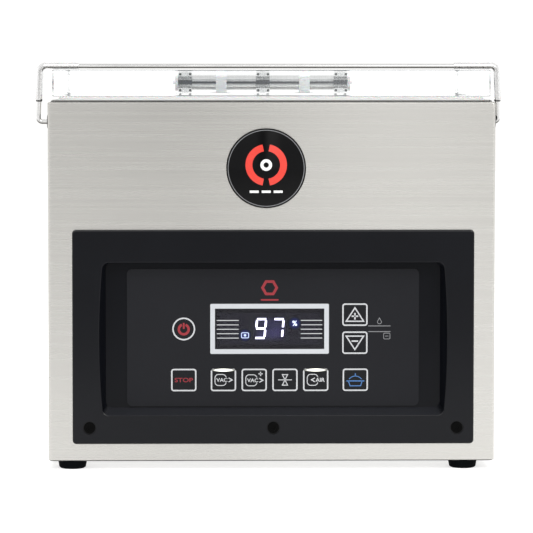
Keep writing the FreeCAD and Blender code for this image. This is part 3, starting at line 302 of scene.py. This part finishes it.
# Painted bands: shade under the bail wire and a dark reflection along the shaft, both painted into the colour; the
# arms' dark band lies at the shaft's height.
BAIL_PAINTED_SHADE, ARM_SHADE, SHAFT_PAINTED_REFLECTION = (0.12, 0.115, 0.105), (0.012, 0.018, 0.030), (0.006, 0.010, 0.020)
finish("bail_bright", polished, (0.03, 1.0, 1.0), (0.12, 0.24), BAIL_PAINTED_SHADE, "Normal", -1.4, -0.30, 0.30)
finish("arm_steel", polished, (1.0, 0.2, 0.2), (0.20, 0.34), ARM_SHADE, "Object", 289.6, 293.6, 0.6)
finish("shaft_polished", polished, (1.0, 0.05, 0.05), (0.30, 0.42), SHAFT_PAINTED_REFLECTION, "Normal", -0.20, 0.13, 0.06)

# The lid's glow is painted light: the acrylic gives out faint light, though it is no lamp.
finish("lid_acrylic", clear, (0.965, 0.980, 0.982), (0.990, 0.997, 0.998), (0.0, 0.02), 1.49, glow=0.05)
finish("lens_dark", clear, (0.22, 0.22, 0.27), (0.26, 0.26, 0.31), (0.05, 0.09), 1.18, 60.0, through=0.93)
finish("sleeve_clear", clear, (0.93, 0.93, 0.93), (0.97, 0.97, 0.97), (0.03, 0.08), 1.24, 12.0)
finish("segment_white", lamp, (0.92, 0.91, 1.0), 15.0)

finish("fascia_black", moulding)
finish(
    "overlay_charcoal", surface, (0.0068, 0.0072, 0.0098), (0.0096, 0.0102, 0.0130), (0.42, 0.52), 1600.0,
    depth=0.02, Specular_IOR_Level=0.18,
)
finish(
    "key_charcoal", surface, (0.0052, 0.0056, 0.0074), (0.0078, 0.0084, 0.0104), (0.40, 0.50), 1600.0,
    depth=0.02, Specular_IOR_Level=0.18,
)
finish(
    "badge_black", surface, (0.0020, 0.0020, 0.0024), (0.0045, 0.0045, 0.0050), (0.05, 0.10), 1200.0,
    depth=0.01, Specular_IOR_Level=0.16,
)
finish(
    "foot_rubber", surface, (0.0012, 0.0016, 0.0020), (0.0030, 0.0040, 0.0048), (0.60, 0.80), 1500.0,
    Specular_IOR_Level=0.03,
)
finish("screw_black", surface, 0.0008, 0.0026, (0.25, 0.40), 2500.0, depth=0.02, Specular_IOR_Level=0.04)
finish("bush_black", surface, 0.008, 0.018, (0.4, 0.6), 1500.0)
finish("inlet_black", surface, 0.007, 0.015, (0.4, 0.55), 1800.0)
finish("fan_black", surface, 0.012, 0.024, (0.45, 0.6), 1500.0)
finish("hose_black", surface, 0.010, 0.020, (0.45, 0.65), 900.0)
finish("iron_grey", surface, (0.055, 0.06, 0.066), (0.09, 0.098, 0.105), (0.5, 0.7), 500.0, depth=0.2)
finish("coil_copper", surface, (0.16, 0.05, 0.02), (0.34, 0.12, 0.045), (0.3, 0.5), 1800.0, ALONG_COIL)
finish("board_green", surface, (0.01, 0.07, 0.03), (0.02, 0.12, 0.05), (0.3, 0.5), 700.0)
finish("white_board", surface, (0.66, 0.66, 0.63), (0.76, 0.76, 0.73), (0.45, 0.6), 1200.0)
finish("silicone_red", surface, (0.28, 0.05, 0.035), (0.42, 0.09, 0.06), (0.45, 0.6), 900.0)
# The gasket's emission is painted light: it glows faintly, though it is no lamp, to stay pale under the lid.
finish(
    "gasket_silicone", surface, (0.82, 0.82, 0.81), (0.93, 0.93, 0.92), (0.35, 0.55), 900.0,
    Subsurface_Weight=0.25, Subsurface_Scale=0.002, Emission_Color=colour(1.0), Emission_Strength=0.22,
)
# The nylon's emission is painted light: a faint glow, though it is no lamp, in place of light through the nylon.
finish(
    "nylon_white", surface, (0.70, 0.71, 0.72), (0.84, 0.85, 0.86), (0.35, 0.5), 1400.0,
    Subsurface_Weight=0.3, Subsurface_Scale=0.002, Emission_Color=colour((0.96, 0.98, 1.0)),
    Emission_Strength=0.12,
)
finish("tape_brown", glass_cloth)

for part in frame["record"]["subparts"]:
    mesh = frame["nodes"][part["node"]].data
    mesh.materials.clear()
    mesh.materials.append(LOOKS[part["material_slot"]])


def ink(name, dark, light):
    return surface(name, dark, light, (0.45, 0.6), 2500.0, depth=0.01)


def enamel(name, dark, light):
    return surface(name, dark, light, (0.12, 0.2), 1500.0, depth=0.01, Coat_Weight=0.6)


INK_GREY = ink("ink_grey", (0.46, 0.47, 0.49), (0.55, 0.56, 0.58))
INK_FRAME = ink("ink_frame", (0.48, 0.50, 0.53), (0.55, 0.57, 0.60))
INK_DIM = ink("ink_dim", (0.16, 0.165, 0.175), (0.24, 0.245, 0.255))
INK_RED = ink("ink_red", (0.24, 0.012, 0.020), (0.30, 0.018, 0.028))
INK_BLUE = ink("ink_blue", (0.045, 0.14, 0.36), (0.065, 0.19, 0.45))
EMBLEM_RED = enamel("emblem_red", (0.66, 0.035, 0.022), (0.80, 0.055, 0.035))
EMBLEM_WHITE = enamel("emblem_white", 0.80, 0.90)
# A dark black for the beads of painted shade at the seams and for the sleeves' end rings.
DARK_BEAD = surface("dark_bead_black", 0.006, 0.014, (0.4, 0.55), 900.0)
LIT_WHITE = lamp("lit_white", (0.80, 0.88, 1.0), 1.6)
LIT_ICON = lamp("lit_icon", (0.62, 0.74, 1.0), 1.2)


# ---- Outlines and pieces, in mm -------------------------------------------------------------------
def around(x, z, radius, start, end, steps):
    """Points of an arc, from an angle to another in degrees, anticlockwise from +X."""
    turns = [math.radians(start + (end - start) * k / steps) for k in range(steps + 1)]
    return [(x + radius * math.cos(t), z + radius * math.sin(t)) for t in turns]


def circle(x, z, radius, steps=56):
    return around(x, z, radius, 0, 360 * (steps - 1) / steps, steps - 1)


def soft_box(x, z, width, height, radius):
    """A rectangle's outline with round corners."""
    w, h = width / 2 - radius, height / 2 - radius
    corners = [(w, -h, -90), (w, h, 0), (-w, h, 90), (-w, -h, 180)]
    return [p for cx, cz, a in corners for p in around(x + cx, z + cz, radius, a, a + 90, 6)]


def open_box(x, z, width, height, radius, gap):
    """A rectangle's outline with round corners, open in the middle of its right side."""
    whole = soft_box(x, z, width, height, radius)
    half = len(whole) // 4
    above, below = (x + width / 2, z + gap), (x + width / 2, z - gap)
    return [above] + whole[half:] + whole[:half] + [below]


def twice_area(outline):
    """Twice the area inside an outline, positive where it runs anticlockwise."""
    return sum(a[0] * b[1] - b[0] * a[1] for a, b in zip(outline, outline[1:] + outline[:1]))


def new_object(name, points, faces, material):
    mesh = bpy.data.meshes.new(name)
    mesh.from_pydata([[c * MM for c in p] for p in points], [], faces)
    mesh.validate()
    mesh.update()
    mesh.materials.append(material)
    made = bpy.data.objects.new(name, mesh)
    bpy.context.scene.collection.objects.link(made)
    return made


def new_piece(name, points, faces, material, body):
    piece = new_object(name, points, faces, material)
    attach(piece, body)


def shell(name, rings, body):
    """A closed dark skin through a loop of rings that have as many points each."""
    count = len(rings[0])
    faces = []
    for a in range(len(rings)):
        b = (a + 1) % len(rings)
        for k in range(count):
            n = (k + 1) % count
            faces.append((a * count + k, a * count + n, b * count + n, b * count + k))
    new_piece(name, [p for r in rings for p in r], faces, DARK_BEAD, body)


class Print:
    """Thin marks on a face that looks forward, built about a centre (x, z)."""

    THICK = 0.05
    LEAST_MITRE = 0.35  # keeps a sharp turn's point short

    def __init__(self, x, z):
        self.x, self.z = x, z
        self.points, self.faces = [], []

    def stroke(self, path, width, closed=False):
        """A line of even width with mitred turns."""
        path = [Vector(p) for p in path]
        count = len(path)
        edge = []
        for k, p in enumerate(path):
            before = path[k - 1] if closed or k > 0 else None
            after = path[(k + 1) % count] if closed or k < count - 1 else None
            pairs = [(a, b) for a, b in ((before, p), (p, after)) if a is not None and b is not None]
            runs = [(b - a).normalized() for a, b in pairs]
            normals = [Vector((-run.y, run.x)) for run in runs]
            middle = sum(normals, Vector((0, 0))).normalized()
            out = middle * (width / 2 / max(self.LEAST_MITRE, middle.dot(normals[0])))
            edge.append((p + out, p - out))
        first = len(self.points)
        for left, right in edge:
            self.points += [tuple(left), tuple(right)]
        for k in range(count if closed else count - 1):
            a, b = first + 2 * k, first + 2 * ((k + 1) % count)
            self.faces.append((a, a + 1, b + 1, b))
        return self

    def band(self, outer, inner):
        """The band between two outlines with as many points each."""
        first, count = len(self.points), len(outer)
        self.points += [tuple(p) for p in outer] + [tuple(p) for p in inner]
        for k in range(count):
            n = (k + 1) % count
            self.faces.append((first + k, first + n, first + count + n, first + count + k))
        return self

    def fill(self, outline):
        """A filled convex outline."""
        first = len(self.points)
        self.points += [tuple(p) for p in outline]
        self.faces.append(tuple(range(first, len(self.points))))
        return self

    def write(self, words, x, z, height, stretch=1.0, bold=0.02):
        """Plain lettering centred on a point."""
        curve = bpy.data.curves.new("lettering", "FONT")
        curve.body, curve.align_x, curve.align_y = words, "CENTER", "CENTER"
        curve.size, curve.offset = 1.0, bold
        maker = bpy.data.objects.new("lettering", curve)
        bpy.context.scene.collection.objects.link(maker)
        flat = bpy.data.meshes.new_from_object(maker.evaluated_get(bpy.context.evaluated_depsgraph_get()))
        bpy.data.objects.remove(maker)
        xs = [v.co.x for v in flat.vertices]
        ys = [v.co.y for v in flat.vertices]
        middle_x, middle_y = (max(xs) + min(xs)) / 2, (max(ys) + min(ys)) / 2
        scale = height / (max(ys) - min(ys))
        first = len(self.points)
        for v in flat.vertices:
            self.points.append((x + (v.co.x - middle_x) * scale * stretch, z + (v.co.y - middle_y) * scale))
        self.faces += [tuple(first + i for i in face.vertices) for face in flat.polygons]
        bpy.data.meshes.remove(flat)
        return self

    def made(self, name, material, slot, face, body="root"):
        """The mark as a piece. face gives the y of the surface that it lies on."""
        places = [(self.x + x, self.z + z) for x, z in self.points]
        front = [(x, face(x, z) - self.THICK, z) for x, z in places]
        back = [(x, face(x, z), z) for x, z in places]
        count = len(places)
        faces = []
        for f in self.faces:
            f = f if twice_area([places[k] for k in f]) > 0 else f[::-1]
            faces.append(f)
            faces += [(a, a + count, b + count, b) for a, b in zip(f, f[1:] + f[:1])]
        new_piece(name, front + back, faces, material, body)


# ---- Places on the machine, in mm -----------------------------------------------------------------
def reach(node, axis):
    """The least and greatest place of a node along an axis."""
    low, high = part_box(node)
    return low[axis] / MM, high[axis] / MM


def middle(node):
    """The centre of a node's box, as (x, z)."""
    return sum(reach(node, 0)) / 2, sum(reach(node, 2)) / 2


def flat(y):
    return lambda x, z: y


LEGEND_X, DISPLAY_Z = middle("display_lens")
OVERLAY_Y, KEY_Y = reach("keypad_overlay", 1)[0], reach("key_power", 1)[0]
ON_OVERLAY, ON_KEY = flat(OVERLAY_Y), flat(KEY_Y)
PROUD = 0.06  # how far a lit mark stands in front of the print round it
ON_DISPLAY = flat(OVERLAY_Y - PROUD)
KEY_NAMES = ("power", "stop", "vacuum", "vacuum_plus", "seal", "air", "container", "plus", "minus")
KEYS = {key: middle(f"key_{key}") for key in KEY_NAMES}

# ---- Prints on the keys ---------------------------------------------------------------------------
OUTLINE, THIN, FINE, POINTER = 1.1, 0.6, 0.62, 0.75  # widths of lines
WORD_HEIGHT = 2.9
BAG = (8.4, 8.4, 2.6, 2.3)  # width, height, corner radius and half of the mouth


def key_mark(key, suffix, marks, material):
    marks.made(f"{key}_{suffix}", material, "key_charcoal", ON_KEY, f"key_{key}")


def pointer(marks, x, z, length):
    """An arrowhead that points right, or left where its length is negative."""
    marks.stroke([(x, z + 1.5), (x + length, z), (x, z - 1.5)], POINTER)


for key, (x, z) in KEYS.items():
    rim = circle(0, 0, 8.1) if key == "power" else soft_box(0, 0, 18.1, 16.0, 1.6)
    key_mark(key, "outline", Print(x, z).stroke(rim, OUTLINE, closed=True), INK_GREY)

power = Print(*KEYS["power"]).stroke(around(0, -0.3, 3.7, 112, 428, 40), 1.9)
power.stroke([(0, 0.0), (0, 4.6)], 1.4)
key_mark("power", "symbol", power, INK_RED)

key_mark("stop", "word", Print(*KEYS["stop"]).write("STOP", 0, 0, 3.3, 1.28, 0.012), INK_RED)

for key, drop in (("vacuum", 0.0), ("vacuum_plus", -0.3)):
    vacuum = Print(*KEYS[key]).stroke(open_box(-2.2, drop, *BAG), FINE)
    vacuum.write("VAC", -1.2, drop, WORD_HEIGHT, 1.08)
    pointer(vacuum, 3.9, drop, 2.7)
    if key == "vacuum_plus":
        vacuum.stroke([(3.2, 4.6), (6.4, 4.6)], 0.8).stroke([(4.8, 3.0), (4.8, 6.2)], 0.8)
    key_mark(key, "symbol", vacuum, INK_GREY)

seal = Print(*KEYS["seal"]).stroke([(-5.2, 0), (5.2, 0)], THIN)
for way in (-1, 1):
    seal.stroke([(-2.0, way * 4.0), (2.0, way * 4.0), (0, 0)], 0.65, closed=True)
key_mark("seal", "symbol", seal, INK_GREY)

air = Print(*KEYS["air"]).stroke(open_box(-2.4, 0, 8.0, *BAG[1:]), FINE)
air.write("AIR", 3.4, 0, WORD_HEIGHT, 1.12)
pointer(air, -0.6, 0, -2.6)
key_mark("air", "symbol", air, INK_GREY)

dish = Print(*KEYS["container"]).stroke([(-6.8, -0.9), (6.8, -0.9)], 0.8)
dish.stroke([(-5.2, -1.0), (-4.0, -4.6), (4.0, -4.6), (5.2, -1.0)], 0.7)
dish.stroke(around(0, -3.2, 6.0, 38, 142, 18), THIN).stroke([(0, 4.9), (0, 2.9)], 0.8)
key_mark("container", "symbol", dish, INK_BLUE)

for key, way in (("plus", 1), ("minus", -1)):
    triangle = [(-6.6, -5.0 * way), (6.6, -5.0 * way), (0, 5.2 * way)]
    arrow = Print(*KEYS[key]).stroke(triangle, 0.95, closed=True)
    arrow.stroke([(-2.5, -1.2 * way), (2.5, -1.2 * way)], 1.15)
    if way > 0:
        arrow.stroke([(0, -3.7), (0, 1.3)], 1.15)
    key_mark(key, "symbol", arrow, INK_GREY)

# ---- Prints on the overlay and the display --------------------------------------------------------
border = Print(LEGEND_X, DISPLAY_Z).band(soft_box(0, 0, 89.8, 38.0, 1.0), soft_box(0, 0, 82.8, 30.8, 0.5))
border.made("display_border", INK_FRAME, "overlay_charcoal", ON_OVERLAY)

scale_lines = Print(LEGEND_X, DISPLAY_Z)
for row in range(5):
    z = 6.4 - 3.35 * row
    scale_lines.stroke([(-40.0, z), (-23.4, z)], THIN).stroke([(23.6, z), (39.8, z)], THIN)
scale_lines.made("display_lines", INK_GREY, "lens_dark", ON_OVERLAY)

PERCENT_AT = (LEGEND_X + 19.0, DISPLAY_Z + 4.2)
POUCH_AT = (LEGEND_X - 18.6, DISPLAY_Z - 4.9)
Print(*PERCENT_AT).write("%", 0, 0, 4.0).made("display_percent", LIT_WHITE, "segment_white", ON_DISPLAY)
pouch = Print(*POUCH_AT).stroke(soft_box(0, 0, 5.4, 3.9, 0.8), THIN, closed=True).fill(circle(0, 0, 1.0, 20))
pouch.made("display_pouch", LIT_ICON, "segment_white", ON_DISPLAY)

leaders = Print(LEGEND_X, DISPLAY_Z)
leaders.stroke([(74.6, 2.1), (91.6, 2.1)], THIN).stroke([(74.8, -2.2), (91.6, -2.2)], THIN)
oil_drop = [(83.2, 8.2)] + around(83.2, 5.2, 1.5, 35, -215, 18)
leaders.stroke(oil_drop, 0.5, closed=True)
leaders.stroke(soft_box(88.8, -5.6, 4.8, 4.4, 0.8), 0.5, closed=True)
leaders.stroke([(87.6, -5.6), (90.0, -5.6)], 0.5)
leaders.made("overlay_leaders", INK_DIM, "overlay_charcoal", ON_OVERLAY)

EMBLEM_Z = 137.0
emblem = Print(LEGEND_X, EMBLEM_Z).stroke(circle(0, 0, 5.4, 6), 2.0, closed=True)
emblem.fill(soft_box(0, -9.2, 13.5, 1.2, 0.5))
emblem.made("overlay_emblem", INK_RED, "overlay_charcoal", ON_OVERLAY)

# ---- Lamps behind the panel -----------------------------------------------------------------------
LENS_DARK, KEY_DARK = (0.006, 0.007, 0.010), (0.0085, 0.0090, 0.0110)
BLUE, WARM = (0.02, 0.05, 0.55), (1.0, 1.0, 0.90)
LAMP_RISE = 7.5  # a key's lamp above its middle
HAZE_Y = reach("display_segments", 1)[1] + 0.05


def glow(name, slot, centre, half, tint, strength, base, face, body="root", power=1.0):
    """An elliptical window with light fading towards its edge."""
    outline = [(half[0] * 0.98 * x, half[1] * 0.98 * z) for x, z in circle(0, 0, 1.0, 40)]
    look = halo(name, centre, half, tint, strength, base, power)
    Print(*centre).fill(outline).made(name, look, slot, face, body)


def digit_haze():
    """The display module's dark face, with a violet haze round the lit digits."""
    look = Look("digit_haze")
    parts = []
    for axis, centre, half in (("X", LEGEND_X, 15.0), ("Z", DISPLAY_Z, 11.0)):
        away = look.math("ABSOLUTE", look.math("SUBTRACT", look.axis(look.where, axis), centre * MM))
        parts.append(look.spread(away, 1.0, 0.0, half * 0.35 * MM, half * MM, smooth=True))
    mottle = look.noise(900.0)
    near = look.math("MULTIPLY", *parts)
    look.wire(look.blend(near, (0.010, 0.010, 0.018), (0.24, 0.20, 0.60)), "Emission Color")
    look.wire(look.spread(mottle, 0.9, 1.1), "Emission Strength")
    look.wire(look.blend(mottle, 0.010, 0.016), "Base Color")
    look.set(Roughness=0.6, Specular_IOR_Level=0.1)
    return look.material


for name, place in (("percent_glow", PERCENT_AT), ("pouch_glow", POUCH_AT)):
    glow(name, "lens_dark", place, (5.2, 5.2), BLUE, 0.34, LENS_DARK, ON_OVERLAY, power=0.9)
for key in ("vacuum", "air"):
    place = (KEYS[key][0], KEYS[key][1] + LAMP_RISE)
    lamp_face = flat(KEY_Y - PROUD)
    glow(f"{key}_lamp", "key_charcoal", place, (9.5, 1.35), WARM, 6.0, KEY_DARK, lamp_face, f"key_{key}")
haze = Print(LEGEND_X, DISPLAY_Z).fill(soft_box(0, 0, 82.0, 30.4, 0.5))
haze.made("display_haze", digit_haze(), "lens_dark", flat(HAZE_Y))

# ---- Badge ----------------------------------------------------------------------------------------
BADGE_X, BADGE_Z = middle("badge")
BADGE_TOP_Y = reach("badge", 1)[0]
DOME_R, DOME_SINK = 226.0, 0.03
RING_RISE = 2.5


def on_badge(x, z):
    """The dome's face, a shade below the surface that CAD gives its flat facets."""
    away = (x - BADGE_X) ** 2 + (z - BADGE_Z) ** 2
    return BADGE_TOP_Y + DOME_R - math.sqrt(DOME_R**2 - away) + DOME_SINK


ring = Print(BADGE_X, BADGE_Z)
for start in (100, 280):
    ring.stroke(around(0, RING_RISE, 13.0, start, start + 160, 48), 5.2)
ring.made("badge_ring", EMBLEM_RED, "badge_black", on_badge)
centre = Print(BADGE_X, BADGE_Z).stroke(circle(0, RING_RISE, 3.2, 40), 2.4, closed=True)
for x in (-9.0, 0.0, 9.0):
    centre.stroke([(x - 3.4, -17.6), (x, -17.6), (x + 3.4, -17.6)], 1.8)
centre.made("badge_centre", EMBLEM_WHITE, "badge_black", on_badge)
rim_line = Print(BADGE_X, BADGE_Z).stroke(circle(0, 0, 28.6, 96), 0.5, closed=True)
rim_line.made("badge_rim_line", INK_DIM, "badge_black", on_badge)

# ---- Dark beads of painted shade at the seams, and the sleeves' ends ------------------------------
BEAD_CORNER = 4.0
BAIL_LEAN = math.radians(9.0)
BAIL_X = middle("bail_wire")[0]
LEG_X = 172.55  # a leg of the bail from its middle
PIVOT = next(joint["pos_m"] for joint in frame["joints"] if joint["name"] == "bail_swing")


def bead(name, side, front, rear, low, high, wide):
    """A dark bead right round the machine, standing out by wide. It is painted shade: a dark strip where a seam's
    shadow falls.
    """
    rings = []
    for grow, z in ((0.0, low), (wide, low), (wide, (low + high) / 2), (wide * 0.6, high), (0.0, high)):
        outline = soft_box(0, 0, 2 * (side + grow), rear - front + 2 * grow, BEAD_CORNER)
        rings.append([(x, (front + rear) / 2 + y, z) for x, y in outline])
    shell(name, rings, "root")


def sleeve_ring(name, x):
    """A dark ring round the end of a sleeve, low on a leg of the bail."""
    pivot_y, pivot_z = PIVOT[1] / MM, PIVOT[2] / MM
    rings = []
    for radius, up in ((1.80, 15.6), (2.32, 15.6), (2.40, 16.2), (2.32, 16.65), (1.80, 16.65)):
        ring = []
        for px, py in circle(0, 0, radius, 24):
            across = py * math.cos(BAIL_LEAN) - up * math.sin(BAIL_LEAN)
            rise = up * math.cos(BAIL_LEAN) + py * math.sin(BAIL_LEAN)
            ring.append((x + px, pivot_y + across, pivot_z + rise))
        rings.append(ring)
    shell(name, rings, "bail")


casing_bottom, casing_top = reach("casing", 2)
deck_side, deck_top = reach("chamber_tub", 0)[1], reach("chamber_tub", 2)[1]
deck_front, deck_rear = reach("chamber_tub", 1)
base_side = reach("base_plate", 0)[1]
base_front, base_rear = reach("base_plate", 1)
# Painted shade: dark beads where the seams' shadows fall, at the deck's edge on top of the casing and under the
# casing's lower edge.
bead(
    "deck_shadow_bead", deck_side + 0.1, deck_front - 0.1, deck_rear + 0.1, casing_top + 0.2, deck_top - 0.55, 0.7
)
bead(
    "base_shadow_bead", base_side - 0.3, base_front + 0.3, base_rear - 0.5, casing_bottom - 0.7,
    casing_bottom - 0.02, 1.6,
)
sleeve_ring("sleeve_ring_left", BAIL_X - LEG_X)
sleeve_ring("sleeve_ring_right", BAIL_X + LEG_X)

# ---- Floor, light and camera ----------------------------------------------------------------------
# How bright the surroundings are. In front of the machine they are dim straight ahead, brighter on the left,
# brightest on the right, and less so further round. All of that grows by OVERHEAD with height, and ZENITH
# is the share that is left straight up. BACKDROP is what the camera itself sees.
FRONT_LEFT, FRONT_DIM, FRONT_RIGHT, FRONT_SIDE = 0.70, 0.22, 1.13, 0.62
OVERHEAD, ZENITH, BACKDROP = 2.3, 0.62, 1.05
FLOOR_HALF, FLOOR_STEPS = 6000.0, 12  # mm, and squares to a side


def floor():
    """A plain pale floor, lit enough from within to stay white up to the machine's feet."""
    look = Look("studio_floor")
    mottle = look.noise(3.0)
    look.wire(look.blend(mottle, 0.55, 0.60), "Base Color")
    look.wire(look.spread(mottle, 0.6, 0.7), "Roughness")
    look.relief(look.noise(300.0), 0.02, 0.05 * MM)
    ahead = look.axis(look.where, "Y")
    look.wire(look.spread(ahead, 0.0, 0.62, -1.4, -0.42, smooth=True), "Emission Strength")
    look.set(Emission_Color=colour(1.0), Specular_IOR_Level=0.1)
    ticks = [FLOOR_HALF * (2 * k / FLOOR_STEPS - 1) for k in range(FLOOR_STEPS + 1)]
    points = [(x, y, 0.0) for y in ticks for x in ticks]
    corners = [r * (FLOOR_STEPS + 1) + c for r in range(FLOOR_STEPS) for c in range(FLOOR_STEPS)]
    faces = [(a, a + 1, a + FLOOR_STEPS + 2, a + FLOOR_STEPS + 1) for a in corners]
    new_object("studio_floor", points, faces, look.material)


def studio():
    """Soft white light from all round, dimmer from straight in front and most so a little to the left."""
    world = bpy.data.worlds.new("studio")
    bpy.context.scene.world = world
    world.use_nodes = True
    tree = world.node_tree

    def combine(operation, a, b):
        return add_node(tree, "ShaderNodeMath", {0: a, 1: b}, operation=operation).outputs[0]

    def pick(share, a, b):
        return add_node(tree, "ShaderNodeMix", {0: share, 2: a, 3: b}, data_type="FLOAT").outputs[0]

    def ramp(value, start, end, low, high):
        return map_range(tree, value, start, end, low, high, smooth=True)

    direction = add_node(tree, "ShaderNodeTexCoord").outputs["Generated"]
    parts = add_node(tree, "ShaderNodeSeparateXYZ", {0: direction}).outputs
    to_right = ramp(parts["X"], 0.008, 0.050, FRONT_DIM, FRONT_RIGHT)
    to_left = ramp(parts["X"], -0.05, -0.002, FRONT_LEFT - FRONT_DIM, 0.0)
    beyond = ramp(parts["X"], 0.075, 0.15, 0.0, FRONT_SIDE - FRONT_RIGHT)
    across = combine("ADD", combine("ADD", to_right, to_left), beyond)
    front = combine("MULTIPLY", across, ramp(parts["Z"], 0.05, 0.70, 1.0, OVERHEAD))
    around_front = ramp(parts["Y"], -0.92, -0.45, 0.0, 1.0)
    level = combine("MULTIPLY", pick(around_front, front, 1.0), ramp(parts["Z"], 0.80, 0.97, 1.0, ZENITH))
    seen = add_node(tree, "ShaderNodeLightPath").outputs["Is Camera Ray"]
    background = tree.nodes["Background"]
    background.inputs["Color"].default_value = (1.0, 0.995, 0.985, 1.0)
    tree.links.new(pick(seen, level, BACKDROP), background.inputs["Strength"])


def soft_light(name, place, target, size, energy):
    data = bpy.data.lights.new(name, "AREA")
    data.shape, data.size, data.size_y = "RECTANGLE", size[0], size[1]
    data.energy, data.color = energy, (1.0, 0.99, 0.97)
    light = bpy.data.objects.new(name, data)
    bpy.context.scene.collection.objects.link(light)
    light.location = place
    light.rotation_euler = (Vector(target) - Vector(place)).to_track_quat("-Z", "Y").to_euler()
    light.visible_camera = False
    return light


def front_camera():
    """A long lens level with the lid, a little left of the middle, turned slightly down and to the right."""
    down, right = math.radians(2.97), math.radians(0.83)
    data = bpy.data.cameras.new("camera")
    data.sensor_width, data.lens = 36.0, 178.9
    data.shift_x, data.shift_y = 0.06, -0.10
    camera = bpy.data.objects.new("camera", data)
    bpy.context.scene.collection.objects.link(camera)
    camera.location = (-0.0569, -2.2025, 0.2971)
    camera.rotation_euler = (math.radians(90) - down, 0.0, -right)
    return camera


floor()
studio()
soft_light("key_light", (1.3, -1.5, 1.6), (0.0, 0.0, 0.15), (1.2, 1.2), 15.0)
top_light = soft_light("top_light", (0.0, -1.0, 1.65), (0.0, 0.0, 0.2), (1.6, 1.0), 11.0)
top_light.visible_glossy = False
bpy.context.scene.camera = front_camera()
bpy.context.scene.view_settings.view_transform = "Standard"
